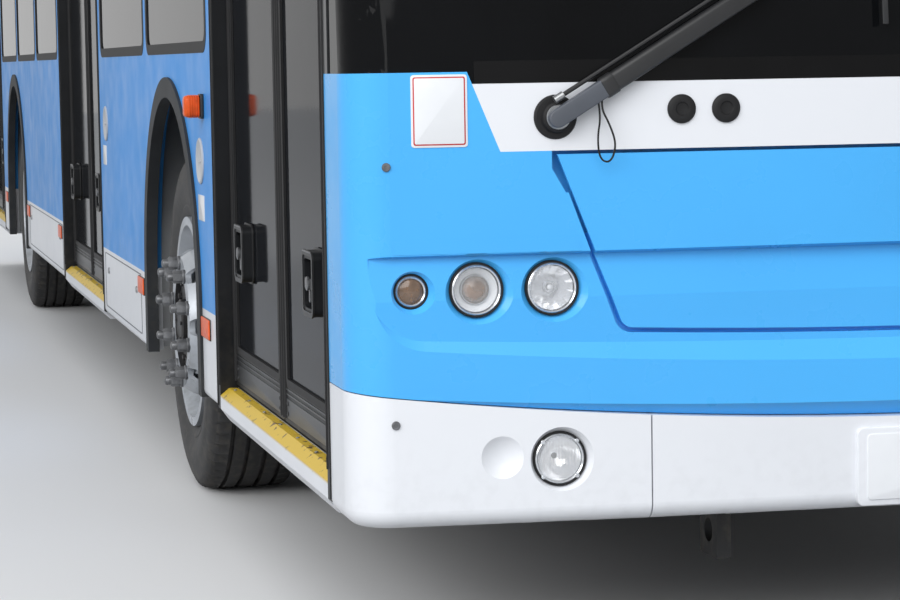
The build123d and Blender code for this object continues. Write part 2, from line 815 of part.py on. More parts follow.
def leaf_pieces(span):
    """A door leaf's frame with its handle, and its pane."""
    low, high, hinge, way = span
    outer = half_width - leaf_recess
    top = door_head_z - leaf_gap
    outline = rectangle(low, high, leaf_bottom_z, top, 6)
    hole = rectangle(low + leaf_stile, high - leaf_stile, kick_panel_z, top - leaf_head, 20)
    frame = side_sheet(outline - hole, -1, leaf_thickness, outer)
    pane_outline = rectangle(
        low + leaf_stile + fit_gap,
        high - leaf_stile - fit_gap,
        kick_panel_z + fit_gap,
        top - leaf_head - fit_gap,
        20,
    )
    pane = side_sheet(pane_outline, -1, leaf_pane, outer - leaf_pane_depth)
    post_x = low if way > 0 else high
    handle_x = post_x + way * handle_from_post
    half_w = handle_width / 2
    half_h = handle_height / 2
    rim = rectangle(handle_x - half_w, handle_x + half_w, handle_z - half_h, handle_z + half_h, 18)
    inset = handle_wall
    cup = rectangle(
        handle_x - half_w + inset,
        handle_x + half_w - inset,
        handle_z - half_h + inset,
        handle_z + half_h - inset,
        12,
    )
    depth = handle_proud + leaf_pane_depth
    shell = side_sheet(rim, -1, depth, outer + handle_proud)
    shell -= side_sheet(cup, -1, depth - 8, outer + handle_proud)
    grip_z = 11.0
    bar = rectangle(
        handle_x - half_w + inset, handle_x + half_w - inset, handle_z - grip_z, handle_z + grip_z
    )
    shell += side_sheet(bar, -1, depth - 8, outer + handle_proud)
    turn_y = leaf_thickness + leaf_hinge_behind - outer
    frame += rod((hinge, turn_y, step_top_z + fit_gap), (hinge, turn_y, door_head_z - fit_gap), leaf_post_radius)
    return Compound([*frame.solids(), *shell.solids()]), pane


def floor():
    """Floor sheet with its frame rails, tow lugs and jacking pads, as one solid."""
    outline = rectangle(tail_x + tail_wall, door_high_x, -inner_side_y, inner_side_y)
    for x in axles:
        half = wheel_box_half_length
        for side, word in sides:
            low, high = sorted((side * box_inner_y[x], side * half_width))
            outline -= rectangle(x - half, x + half, low, high)
    for name, low, high in door_table:
        outline -= rectangle(low, high, -half_width, -half_width + door_frame_depth)
    outline -= motor_hole()
    rounded = outline.vertices().sort_by(Axis.X)[:2]
    outline = fillet(rounded, tail_radius - tail_wall + 5)
    sheet = Pos(0, 0, floor_bottom_z) * extrude(outline, amount=floor_sheet)
    for side, word in sides:
        y = side * rail_half_track
        sheet += block(
            tail_x + frame_end,
            nose_x - frame_end,
            y - rail_width / 2,
            y + rail_width / 2,
            rail_bottom_z,
            floor_bottom_z,
        )
        for axle, way in ((front_axle_x, -1), (rear_axle_x, 1)):
            pad_x = axle + way * jack_pad_x
            half = jack_pad_size / 2
            pad_bottom = rail_bottom_z - jack_pad_depth
            sheet += block(pad_x - half, pad_x + half, y - half, y + half, pad_bottom, rail_bottom_z)
        for end in (tail_x + frame_end, nose_x - frame_end):
            sheet += tow_lug(end, side)
        bracket = block(
            nose_x - 2 * frame_end, nose_x, y - rail_width / 2, y + rail_width / 2, bumper_bracket_z, floor_top_z
        )
        sheet += bracket & extrude(plan_outline(bumper_wall + fit_gap), amount=floor_top_z)
    count = int((door_high_x - tail_x) / cross_rail_pitch)
    for n in range(count):
        x = tail_x + frame_end + rail_width + n * cross_rail_pitch
        if min(abs(x - axle) for axle in axles) > wheel_box_half_length + rail_width:
            sheet += block(x, x + rail_width, -rail_half_track, rail_half_track, rail_bottom_z, floor_bottom_z)
    gap = motor_cover_gap
    return sheet - block(
        motor_low_x - gap, motor_high_x + gap, motor_low_y - gap, motor_high_y + gap, 0, floor_top_z
    )


def tow_lug(end, side):
    """A towing lug under a rail's end with its bore across the vehicle."""
    way = 1 if end < 0 else -1
    y = side * rail_half_track
    low, high = sorted((end, end + way * tow_lug_width))
    half = tow_lug_thickness / 2
    plate = block(low, high, y - half, y + half, rail_bottom_z - tow_lug_drop, rail_bottom_z)
    centre = Pos((low + high) / 2, y, rail_bottom_z - tow_lug_drop / 2)
    return plate - centre * Rot(90, 0, 0) * Cylinder(tow_bore_radius, 2 * tow_lug_thickness)


def wheel_boxes():
    """The housings over the wheels inside the saloon, and the one over the motor."""
    boxes = []
    wall = wheel_box_wall
    half = wheel_box_half_length
    for side, word in sides:
        for x in axles:
            y0, y1 = sorted((side * box_inner_y[x], side * inner_side_y))
            outer = block(x - half, x + half, y0, y1, floor_bottom_z, wheel_box_top_z)
            i0, i1 = sorted((side * (box_inner_y[x] + wall), side * (half_width + wall)))
            inner = block(x - half + wall, x + half - wall, i0, i1, 0, wheel_box_top_z - wall)
            boxes += (outer - inner).solids()
    boxes += motor_cover().solids()
    return Compound(boxes)


motor_low_x = tail_x + 440.0
motor_high_x = motor_low_x + 800.0
motor_high_y = half_width - 195.0
motor_low_y = motor_high_y - 820.0
motor_bottom_z = 225.0
motor_top_z = 760.0
motor_cover_gap = 30.0
shaft_y = motor_low_y + 40.0
differential_half_length = 84.0
differential_half_width = 95.0
shaft_z = 256.0
shaft_radius = 24.0


def motor_hole():
    """The hole in the floor sheet that the motor stands in."""
    gap = motor_cover_gap
    return rectangle(motor_low_x - gap, motor_high_x + gap, motor_low_y - gap, motor_high_y + gap)


def motor_cover():
    """The raised housing over the motor."""
    gap = motor_cover_gap
    wall = wheel_box_wall
    outer = block(
        motor_low_x - gap - wall,
        motor_high_x + gap + wall,
        motor_low_y - gap - wall,
        motor_high_y + gap + wall,
        floor_top_z,
        motor_top_z + gap + wall,
    )
    inner = block(
        motor_low_x - gap,
        motor_high_x + gap,
        motor_low_y - gap,
        motor_high_y + gap,
        0,
        motor_top_z + gap,
    )
    return outer - inner


def traction_motor():
    """The motor as one block on two bearers, with the shaft to the rear axle."""
    motor = block(motor_low_x, motor_high_x, motor_low_y, motor_high_y, motor_bottom_z, motor_top_z)
    gap = motor_cover_gap
    foot = block(
        motor_low_x - gap, motor_high_x + gap, motor_low_y + 40, motor_low_y + 120, floor_bottom_z, floor_top_z
    )
    far_foot = block(
        motor_low_x - gap, motor_high_x + gap, motor_high_y - 120, motor_high_y - 40, floor_bottom_z, floor_top_z
    )
    shaft_end = rear_axle_x - differential_half_length
    shaft = rod((motor_high_x - 10, shaft_y, shaft_z), (shaft_end, shaft_y, shaft_z), shaft_radius)
    return motor + foot + far_foot + shaft


def tyre():
    """A tyre about the Y axis, with its outer face at y = 0 and its body towards -y."""
    radius = tyre_diameter / 2
    bead = tyre_bead_radius
    half = tyre_width / 2
    right = [
        (bead, -half + 22),
        (rim_flange_radius + 2, -half + 22),
        (bead + 80, -half),
        (radius - 18, -half + 10),
        (radius, -half + 38),
    ]
    left = [(r, -y) for r, y in reversed(right)]
    profile = make_face(Polyline(*right, *left, close=True))
    return Pos(0, -half, 0) * revolve(profile, axis=Axis.Y)


def rim_barrel():
    """A drop-centre rim about the Y axis in the space of one tyre."""
    flange = rim_flange_radius
    seat = tyre_bead_radius
    well = rim_well_radius
    wall = rim_wall
    half = tyre_width / 2
    edge = half - 6.0
    lip = half - 22.0
    outer = [(seat, edge), (flange, edge), (flange, lip), (seat, lip), (well, lip - 70)]
    outer += [(r, -y) for r, y in reversed(outer)]
    inner = [(seat - wall, -edge), (well - wall, -lip + 76)]
    inner += [(r, -y) for r, y in reversed(inner)]
    profile = make_face(Polyline(*outer, *inner, close=True))
    return Pos(0, -half, 0) * revolve(profile, axis=Axis.Y)


def hand_holes(y0, y1):
    """The ring of round holes in a wheel disc, as a cutting tool."""
    holes = []
    for n in range(hand_hole_count):
        turn = 360.0 / hand_hole_count * n
        hole = Pos(hand_hole_circle, (y0 + y1) / 2, 0) * Rot(90, 0, 0) * Cylinder(hand_hole_radius, abs(y1 - y0))
        holes.append(Rot(0, turn, 0) * hole)
    return Compound([solid for hole in holes for solid in hole.solids()])


def disc(points):
    """A wheel disc turned from its outer profile line, its thickness laid towards -y."""
    back = [(r, y - disc_thickness) for r, y in reversed(points)]
    return revolve(make_face(Polyline(*points, *back, close=True)), axis=Axis.Y)


front_disc_depth = 110.0
disc_face_y = 18.0  # how far a front disc's face stands outside the tyre's side
hub_recess_radius = 140.0
hub_cap_radius = 62.0
hub_length = 150.0
hub_inset = 34.0  # how far the front hub's end lies inside the disc's face


def front_wheel():
    """A front wheel's rim, disc and hub, and its tyre. The disc is a bell that stands outwards."""
    well = rim_well_radius - rim_wall / 2
    face_y = disc_face_y
    face = disc([(well, -front_disc_depth), (226, -62), (204, -8), (186, face_y), (hub_recess_radius, face_y)])
    face -= hand_holes(-2 * front_disc_depth, face_y)
    end = face_y - disc_thickness
    flange = Pos(0, end - disc_thickness / 2, 0) * Rot(90, 0, 0) * Cylinder(hub_radius + rim_wall, disc_thickness)
    hub = Pos(0, end - hub_length / 2, 0) * Rot(90, 0, 0) * Cylinder(hub_cap_radius * 1.5, hub_length)
    cap = Pos(0, face_y - hub_inset / 2, 0) * Rot(90, 0, 0) * Cylinder(hub_cap_radius, hub_inset)
    bore_radius = spindle_radius + running_clearance
    bore = Pos(0, end - hub_length, 0) * Rot(90, 0, 0) * Cylinder(bore_radius, 2 * (hub_length - hub_inset))
    return rim_barrel() + face + flange + hub + cap - bore, tyre()


def rear_wheel():
    """A twin rear wheel's rims, discs and hub, and its two tyres."""
    pitch = tyre_width + twin_gap
    middle = -(pitch + tyre_width) / 2
    dish_y = middle + 60
    outer_face = [(rim_well_radius - 6, -120), (234, dish_y), (176, dish_y), (168, middle + 16), (0, middle + 16)]
    outer_disc = disc(outer_face)
    well = rim_well_radius - rim_wall / 2
    inner_face = [(well, -pitch - 120), (230, -pitch - 90), (172, middle), (0, middle)]
    inner_disc = disc(inner_face)
    outer_disc -= hand_holes(middle, 0)
    hub_start = -60.0
    hub = Pos(0, (hub_start - 390) / 2, 0) * Rot(90, 0, 0) * Cylinder(hub_radius - 8, 390 + hub_start)
    bore_radius = rear_spindle_radius + running_clearance
    bore = Pos(0, -390, 0) * Rot(90, 0, 0) * Cylinder(bore_radius, 2 * 290)
    rims = rim_barrel() + Pos(0, -pitch, 0) * rim_barrel() + outer_disc + inner_disc + hub - bore
    tyres = [*tyre().solids(), *(Pos(0, -pitch, 0) * tyre()).solids()]
    return rims, Compound(tyres)


def on_side(shape, side, x, y, z):
    """Puts a piece made about the Y axis, outwards at +y, on one side of the vehicle."""
    if side < 0:
        shape = mirror(shape, about=Plane.XZ)
    return Pos(x, side * y, z) * shape


spindle_end_y = wheel_outer_y - 60.0


def knuckle(side):
    """A steering knuckle: kingpin boss and wheel spindle."""
    x, y, z = front_axle_x, side * kingpin_y, wheel_z
    boss = Pos(x, y, z) * Cylinder(knuckle_boss_radius, knuckle_boss_height)
    boss += rod((x, y, z), (x, side * spindle_end_y, z), spindle_radius)
    arm_z = z - steering_arm_drop
    arm_end = (x - steering_arm_length, y + side * steering_arm_out, arm_z)
    boss += rod((x, y, arm_z), arm_end, steering_arm_radius)
    pin = Pos(x, y, z) * Cylinder(kingpin_radius + running_clearance, 2 * knuckle_boss_height)
    return boss - pin


def saddle(x, side):
    """The block between an axle beam and a frame rail."""
    y = side * rail_half_track
    half = beam_width / 2
    return block(x - half, x + half, y - half, y + half, beam_bottom_z, rail_bottom_z)


def front_axle():
    """The dropped front axle beam with the forks and pins that carry the knuckles."""
    x = front_axle_x
    half = beam_width / 2
    top = beam_bottom_z + beam_height
    fork_y = kingpin_y - knuckle_boss_radius - 5 * knuckle_gap
    beam = block(x - half, x + half, -fork_y, fork_y, beam_bottom_z, top)
    fork = 30.0
    reach = knuckle_boss_height / 2 + knuckle_gap
    for side, word in sides:
        y0, y1 = sorted((side * (fork_y - axle_riser), side * fork_y))
        beam += block(x - half, x + half, y0, y1, beam_bottom_z, wheel_z + reach + fork)
        e0, e1 = sorted((side * (fork_y - 10), side * (kingpin_y + knuckle_boss_radius - 6)))
        for z in (wheel_z - reach - fork, wheel_z + reach):
            beam += block(x - 44, x + 44, e0, e1, z, z + fork)
        height = 2 * (reach + fork)
        beam += Pos(x, side * kingpin_y, wheel_z) * Cylinder(kingpin_radius, height)
        beam += saddle(x, side)
    return beam


def rear_axle():
    """The dropped rear axle with its differential and the spindles of the twin wheels."""
    x = rear_axle_x
    half = beam_width / 2
    top = beam_bottom_z + beam_height
    out = rear_riser_outer_y
    beam = block(x - half, x + half, -out, out, beam_bottom_z, top)
    beam += block(
        x - differential_half_length,
        x + differential_half_length,
        shaft_y - differential_half_width,
        shaft_y + differential_half_width,
        beam_bottom_z - 30,
        floor_bottom_z - 12,
    )
    for side, word in sides:
        y0, y1 = sorted((side * (out - axle_riser), side * out))
        beam += block(x - half, x + half, y0, y1, beam_bottom_z, wheel_z + 90)
        beam += rod((x, side * (out - 20), wheel_z), (x, side * (wheel_outer_y - 130), wheel_z), rear_spindle_radius)
        beam += saddle(x, side)
    return beam


def mirrors():
    """An outside mirror on an arm at each front corner."""
    pieces = []
    low = mirror_z - mirror_height / 2
    high = mirror_z + mirror_height / 2
    arm = 26.0
    arm_x = nose_corner_x - 190.0
    for side, word in sides:
        inner = half_width + mirror_out
        y0, y1 = sorted((side * inner, side * (inner + mirror_width)))
        housing = block(arm_x - mirror_depth, arm_x, y0, y1, low, high)
        housing = fillet(housing.edges().filter_by(Axis.X), 40)
        a0, a1 = sorted((side * half_width, side * (inner + mirror_width / 2)))
        bracket = block(arm_x - arm * 2, arm_x - arm, a0, a1, high - arm, high + arm)
        pieces += (housing + bracket).solids()
    return Compound(pieces)


def glass_x(y, z):
    """X of the windscreen's outer face."""
    return lamp_face_x(y, 0) - max(0.0, z - windscreen_z) * tan(radians(windscreen_rake))


def wipers():
    """Two wipers with pivot boots, arms and blades, and the round caps beside them."""
    pieces = []
    turn = radians(wiper_arm_angle)
    tip_z = wiper_pivot_z + wiper_arm_length * sin(turn)
    low_z = tip_z - wiper_blade_length * 0.25
    high_z = low_z + wiper_blade_length
    pivot_x = lamp_face_x(wiper_pivot_y + wiper_boot_radius, 0)
    cap_standing = 8.0
    skin = upper_front_solid(0, nose_x - 2 * front_wall, band_z)
    for side, word in sides:
        tip_y = side * (wiper_pivot_y - wiper_arm_length * cos(turn))
        gap = nose_x + end_reach - wiper_blade_radius - glass_x(tip_y, low_z)
        pivot = (pivot_x, side * wiper_pivot_y, wiper_pivot_z)
        arm_root = (pivot_x + wiper_stand - wiper_arm_radius, side * wiper_pivot_y, wiper_pivot_z)
        boot = rod(pivot, (pivot_x + wiper_stand, side * wiper_pivot_y, wiper_pivot_z), wiper_boot_radius)
        arm_tip = (glass_x(tip_y, tip_z) + gap, tip_y, tip_z)
        arm = rod(arm_root, arm_tip, wiper_arm_radius)
        cover_end = tuple(a + (b - a) * wiper_cover_share for a, b in zip(arm_root, arm_tip))
        arm += rod(arm_root, cover_end, wiper_cover_radius)
        low = (glass_x(tip_y, low_z) + gap, tip_y, low_z)
        high = (glass_x(tip_y, high_z) + gap, tip_y, high_z)
        wiper = boot + arm + rod(low, high, wiper_blade_radius)
        pieces += (wiper - skin).solids()
        for y in cap_ys:
            cap_x = lamp_face_x(y + cap_radius, 0)
            cap = rod((cap_x, side * y, cap_z), (cap_x + cap_standing, side * y, cap_z), cap_radius)
            pieces += (cap - skin).solids()
    return Compound(pieces)


# Roof containers as (low X, high X, half width, height)
container_table = (
    (nose_x - 4500.0, nose_x - 1700.0, half_width - 455.0, 330.0),
    (tail_x + 1700.0, tail_x + 3700.0, half_width - 575.0, 260.0),
)
container_radius = 60.0


def roof_level(y, inset=0.0):
    """Height of the roof skin, or of the skin drawn in by inset, at a distance from the middle."""
    half = half_width - inset
    radius = (half**2 + roof_crown**2) / (2 * roof_crown)
    return roof_top_z - inset - (radius - sqrt(radius**2 - y**2))


def roof_equipment():
    """The containers on the roof, each on a pair of bearers."""
    pieces = []
    bearer = 30.0
    for low, high, half, height in container_table:
        base = roof_top_z + bearer
        case = block(low, high, -half, half, base, base + height)
        case = fillet(case.edges().filter_by(Axis.X).group_by(Axis.Z)[-1], container_radius)
        case = chamfer(case.faces().sort_by(Axis.Z)[-1].edges().filter_by(Axis.Y), container_radius / 2)
        for side, word in sides:
            y = side * (half - 60.0)
            foot = roof_level(half - 20.0)
            case += block(low + 80, high - 80, y - 40, y + 40, foot, base)
        case -= roof_solid()
        pieces += case.solids()
    return Compound(pieces)


def roof_solid():
    """All that lies under the roof's outer skin, as a cutting tool."""
    return along(section_outline(0), tail_joint_x, door_high_x)


def collector_mount():
    """The raised frame of the trolley poles, with the rest bar at the rear."""
    half_l = collector_base_length / 2
    half_w = collector_base_width / 2
    top = roof_top_z + collector_frame_height
    x = pole_base_x
    deck = block(x - half_l, x + half_l, -half_w, half_w, top - 50, top)
    for end in (-1, 1):
        for side, word in sides:
            leg_x = x + end * (half_l - 60)
            leg_y = side * (half_w - 60)
            deck += block(leg_x - 45, leg_x + 45, leg_y - 45, leg_y + 45, roof_level(half_w), top - 50)
    deck -= roof_solid()
    bar_top = pole_pivot_z - pole_root_radius - rest_bar_clearance
    half_bar = pole_half_track + 260.0
    r0 = rest_bar_x - rest_bar_width / 2
    r1 = rest_bar_x + rest_bar_width / 2
    bar = block(r0, r1, -half_bar, half_bar, bar_top - 40, bar_top)
    for side, word in sides:
        y = side * (half_bar - 60)
        bar += block(r0, r1, y - 25, y + 25, roof_level(half_bar), bar_top - 40)
    bar -= roof_solid()
    return Compound([*deck.solids(), *bar.solids()])


def pole_swivel(side):
    """The turntable of one pole with the two ears that hold the pole's pin."""
    y = side * pole_half_track
    deck = roof_top_z + collector_frame_height
    gap = 0.5
    align = (Align.CENTER, Align.CENTER, Align.MIN)
    table = Pos(pole_base_x, y, deck + gap) * Cylinder(swivel_radius, swivel_height, align=align)
    ear_inner = pole_root_radius + 7.0
    for way in (-1, 1):
        y0, y1 = sorted((y + way * ear_inner, y + way * (ear_inner + pole_ear_thickness)))
        table += block(
            pole_base_x - 55, pole_base_x + 55, y0, y1, deck + gap + swivel_height - 10, pole_pivot_z + 45
        )
    pin = rod(
        (pole_base_x, y - ear_inner - 5, pole_pivot_z), (pole_base_x, y + ear_inner + 5, pole_pivot_z), pole_pin_radius
    )
    return table + pin


def trolley_pole(side):
    """A tapered pole from its pivot back to its head, with a short tail ahead of the pivot."""
    y = side * pole_half_track
    half = pole_root_radius
    root_x = pole_base_x - 2 * half
    head_x = pole_base_x - pole_length
    pole = block(root_x, pole_base_x + 2 * half, y - half, y + half, pole_pivot_z - half, pole_pivot_z + half)
    plane = Plane(origin=(root_x, y, pole_pivot_z), z_dir=(-1, 0, 0))
    neck = head_x + pole_head_half_length
    taper = [RegularPolygon(0.97 * half, pole_side_count), RegularPolygon(pole_tip_radius, pole_side_count)]
    pole += loft([plane * taper[0], plane.offset(root_x - neck) * taper[1]], ruled=True)
    tail_start = (pole_base_x + 2 * half, y, pole_pivot_z)
    pole += rod(tail_start, (pole_base_x + pole_tail, y, pole_pivot_z), 0.97 * half)
    width = pole_head_half_width
    pole += block(
        head_x - pole_head_half_length, neck, y - width, y + width, pole_pivot_z - width, pole_pivot_z + pole_head_rise
    )
    ends = [(pole_base_x, y + way * 2 * half, pole_pivot_z) for way in (-1, 1)]
    return pole - rod(*ends, pole_pin_radius + running_clearance)


seat_width = 400.0
seat_depth = 400.0
seat_thickness = 70.0
seat_z = 830.0
seat_back_height = 520.0
seat_pitch = 810.0
first_row_x = front_axle_x - 1130.0
last_row_x = rear_axle_x + 900.0
wall_seat_y = inner_side_y - seat_width / 2 - 8.0


def seat_places():
    """X of the backrest and Y of each seat: pairs on the left, single seats on the right."""
    rows = int((first_row_x - last_row_x) / seat_pitch) + 1
    xs = [first_row_x - n * seat_pitch for n in range(rows)]
    pairs = [(x, y) for x in xs for y in (wall_seat_y - seat_width - 22.0, wall_seat_y)]
    name, door_low, door_high = door_table[1]
    right = (door_high + 394.0, door_low - 896.0, door_low - 1649.0)
    return pairs + [(x, -wall_seat_y) for x in right]


def seats():
    """Passenger seats: cushion, back and a pedestal down to the floor."""
    pieces = []
    half = seat_width / 2
    way = 1
    for x, y in seat_places():
        profile = make_face(
            Polyline(
                (0, seat_z),
                (way * seat_depth, seat_z),
                (way * seat_depth, seat_z - seat_thickness),
                (way * (seat_depth - 120), seat_z - seat_thickness - 20),
                (way * (seat_depth - 150), floor_top_z),
                (way * 90, floor_top_z),
                (way * 60, seat_z - seat_thickness - 20),
                (way * -60, seat_z - seat_thickness),
                (way * -130, seat_z + seat_back_height),
                (way * -70, seat_z + seat_back_height),
                close=True,
            )
        )
        pieces += (Pos(x, 0, 0) * across(profile, y - half, y + half)).solids()
    return Compound(pieces)


partition_x = nose_x - 1670.0
partition_thickness = 30.0
partition_y = 60.0
partition_top_z = roof_top_z - 700.0


def cab_partition():
    """The wall behind the driver with its window, and the low wall beside the driver."""
    x0 = partition_x
    x1 = partition_x + partition_thickness
    wall = block(x0, x1, partition_y, inner_side_y, floor_top_z, partition_top_z)
    pane = rectangle(partition_y + 120, inner_side_y - 120, belt_z, partition_top_z - 150, 50)
    wall -= along(pane, x0 - 10, x1 + 10)
    wall += block(x1, dash_low_x - 40.0, partition_y, partition_y + partition_thickness, floor_top_z, 1350.0)
    return wall


dash_low_x = nose_x - 630.0
dash_top_z = 1120.0
dash_low_y = 110.0


def dashboard():
    """The front bulkhead across the body and the driver's desk."""
    bulkhead_x = door_high_x + 5
    top = dash_top_z
    wall = block(bulkhead_x, bulkhead_x + 30, -inner_side_y + 60, inner_side_y - 60, floor_top_z, top)
    profile = make_face(
        Polyline(
            (bulkhead_x, 560.0),
            (bulkhead_x, top),
            (dash_low_x + 190, top),
            (dash_low_x, top - 130),
            (dash_low_x + 40, top - 260),
            (dash_low_x + 230, 560.0),
            close=True,
        )
    )
    wall += block(door_high_x - 40, bulkhead_x, -300, inner_side_y - 60, floor_top_z, floor_top_z + 40)
    return wall + across(profile, dash_low_y, inner_side_y - 60)


wheel_hub = (dash_low_x - 100.0, half_width - 615.0, 1130.0)
wheel_tilt = 28.0
wheel_ring_radius = 225.0


def steering_wheel():
    """The driver's wheel on its column, which stands on the floor."""
    x, y, z = wheel_hub
    turn = radians(wheel_tilt)
    grip = Pos(wheel_ring_radius, 0) * RegularPolygon(15.0, 8)
    ring = revolve(Plane.XZ * grip, axis=Axis.Z)
    spokes = Cylinder(55.0, 30.0)
    for angle in (90.0, 210.0, 330.0):
        spokes += Rot(0, 0, angle) * Pos(wheel_ring_radius / 2, 0, 0) * Box(wheel_ring_radius, 30, 14)
    top = Pos(x, y, z) * Rot(0, -wheel_tilt, 0) * (ring + spokes)
    foot = (x + (z - floor_top_z) * tan(turn) * 0.35, y, floor_top_z)
    column = rod(foot, (x, y, z), 34.0) + Pos(*foot) * Cylinder(60.0, 60.0)
    return top + column - block(x - big, x + big, y - 500, y + 500, 0, floor_top_z)


def driver_seat():
    """The driver's seat on its pedestal."""
    x, y = wheel_hub[0] - 630.0, wheel_hub[1]
    profile = make_face(
        Polyline(
            (0, 900),
            (470, 920),
            (480, 820),
            (330, 780),
            (320, 600),
            (330, floor_top_z),
            (80, floor_top_z),
            (90, 600),
            (60, 790),
            (-60, 830),
            (-150, 1500),
            (-60, 1520),
            close=True,
        )
    )
    half = 240.0
    seat = Pos(x, 0, 0) * across(profile, y - half, y + half)
    head = block(x - 170, x - 80, y - 130, y + 130, 1490, 1680)
    return seat + head


# Floor-to-roof rails as (X, Y)
rail_side_y = half_width - 715.0
aisle_rail_y = 380.0
rail_table = (
    (front_door_low_x - 113.0, -rail_side_y - 80.0),
    (door_table[1][2] + 104.0, -rail_side_y),
    (door_table[1][1] - 99.0, -rail_side_y),
    (door_table[2][2] + 90.0, -rail_side_y),
    (first_row_x + 200.0, aisle_rail_y),
    (first_row_x - 3000.0, aisle_rail_y),
    (rear_axle_x - 700.0, aisle_rail_y),
)
rail_radius = 17.5


def handrails():
    """Upright rails from floor to roof."""
    pieces = []
    for x, y in rail_table:
        top = roof_level(abs(y) + rail_radius, roof_wall)
        pieces += rod((x, y, floor_top_z), (x, y, top), rail_radius).solids()
    return Compound(pieces)


def route_display():
    """The route display's case behind the top of the windscreen."""
    low = windscreen_top_z - 250.0
    front = glass_x(0, windscreen_top_z) - nose_bulge - front_wall - 40
    half = half_width - 345.0
    case = block(front - 130, front, -half, half, low, roof_top_z - roof_crown - roof_wall - 60)
    for side, word in sides:
        y = side * 600.0
        top = roof_level(abs(y) + 25, roof_wall)
        case += block(front - 110, front - 60, y - 25, y + 25, low + 100, top)
    return case


def write(name, shape):
    """Writes one node."""
    export_step(shape, f"parts/{name}.step")


def main():
    os.makedirs("parts", exist_ok=True)
    mask, hatch, bumper = front_pieces()
    write("front_mask", mask)
    write("front_hatch", hatch)
    write("front_bumper", bumper)
    write("windscreen_frame", windscreen_frame())
    rear_wall, rear_bumper = rear_pieces()
    write("rear_wall", rear_wall)
    write("rear_bumper", rear_bumper)
    write("roof_shell", roof_shell())
    write("side_skirts", skirt_panels())
    write("body_glass", panes())
    write("front_lamps", front_lamps())
    write("rear_lamps", rear_lamps())
    write("side_markers", side_markers())
    write("arch_trims", arch_trims())
    write("door_frames", door_frames())
    write("door_steps", door_steps())
    write("floor", floor())
    write("wheel_boxes", wheel_boxes())
    write("traction_motor", traction_motor())
    write("front_axle", front_axle())
    write("rear_axle", rear_axle())
    write("mirrors", mirrors())
    write("wipers", wipers())
    write("roof_equipment", roof_equipment())
    write("collector_mount", collector_mount())
    write("seats", seats())
    write("cab_partition", cab_partition())
    write("dashboard", dashboard())
    write("steering_wheel", steering_wheel())
    write("driver_seat", driver_seat())
    write("handrails", handrails())
    write("route_display", route_display())
    rim, rubber = front_wheel()
    twin_rim, twin_rubber = rear_wheel()
    for side, word in sides:
        write(f"side_wall_{word}", side_wall_panel(side))
        write(f"knuckle_{word}", knuckle(side))
        write(f"front_rim_{word}", on_side(rim, side, front_axle_x, wheel_outer_y, wheel_z))
        write(f"front_tyre_{word}", on_side(rubber, side, front_axle_x, wheel_outer_y, wheel_z))
        write(f"rear_rims_{word}", on_side(twin_rim, side, rear_axle_x, wheel_outer_y, wheel_z))
        write(f"rear_tyres_{word}", on_side(twin_rubber, side, rear_axle_x, wheel_outer_y, wheel_z))
        write(f"pole_swivel_{word}", pole_swivel(side))
        write(f"trolley_pole_{word}", trolley_pole(side))
    for name, low, high in door_table:
        for end, span in leaf_spans(low, high):
            leaf, pane = leaf_pieces(span)
            write(f"{name}_door_{end}_leaf", leaf)
            write(f"{name}_door_{end}_pane", pane)


main()
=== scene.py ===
"""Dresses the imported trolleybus: finishes for every panel, and the fittings that carry fine detail."""

import math

import bmesh
import bpy
from bpy.props import FloatProperty, FloatVectorProperty, IntProperty, PointerProperty
from mathutils import Matrix, Vector


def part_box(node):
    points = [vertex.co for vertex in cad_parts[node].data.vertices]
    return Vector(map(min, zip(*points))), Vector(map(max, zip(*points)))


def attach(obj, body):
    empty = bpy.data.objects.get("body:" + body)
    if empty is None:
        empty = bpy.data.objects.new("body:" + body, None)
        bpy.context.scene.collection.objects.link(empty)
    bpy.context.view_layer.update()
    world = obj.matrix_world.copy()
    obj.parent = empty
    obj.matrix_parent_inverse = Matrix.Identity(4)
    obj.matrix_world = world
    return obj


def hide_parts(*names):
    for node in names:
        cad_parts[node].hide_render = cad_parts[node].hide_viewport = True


bl_info = {
    "name": "Trolleybus",
    "version": (1, 0, 0),
    "blender": (4, 5, 0),
    "location": "3D View > Sidebar > Trolleybus",
    "description": "Finishes and fittings of a low-floor trolleybus",
    "category": "Add Mesh",
}

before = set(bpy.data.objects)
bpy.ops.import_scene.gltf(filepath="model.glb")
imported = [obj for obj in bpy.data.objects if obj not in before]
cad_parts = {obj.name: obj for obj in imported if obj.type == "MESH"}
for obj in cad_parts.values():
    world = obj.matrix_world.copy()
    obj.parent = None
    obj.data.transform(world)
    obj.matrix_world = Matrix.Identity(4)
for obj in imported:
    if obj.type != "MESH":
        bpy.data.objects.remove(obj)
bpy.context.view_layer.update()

SIDES = ((-1, "right"), (1, "left"))
BODY = "body"
SIDE_Y = 1.275  # outer face of the side walls
DOOR_Y = 1.235  # outer face of the closed door leaves
REAR_X = -6.0  # outer face of the rear bumper
END_X = 5.5  # beyond this a hit is on the front, or mirrored on the rear
RAY_X = 8.0  # where rays towards the front or rear start
POLE_Y = 0.3  # distance of a trolley pole from the middle
POLE_Z = 3.44  # height of a lowered trolley pole's axis
WINDOW_Y = SIDE_Y - 0.003  # base of the window seals
MERGE = 1e-5  # points closer than this are one


# Sizes and colours


def length(name, default, description, **more):
    """A length in metres."""
    return FloatProperty(name=name, default=default, description=description, unit="LENGTH", precision=4, **more)


def tint(name, default, description):
    """A colour."""
    limits = {"subtype": "COLOR", "size": 3, "min": 0, "max": 1}
    return FloatVectorProperty(name=name, default=default, description=description, **limits)


def amount(name, default, description):
    """A plain number, such as an angle in degrees."""
    return FloatProperty(name=name, default=default, description=description)


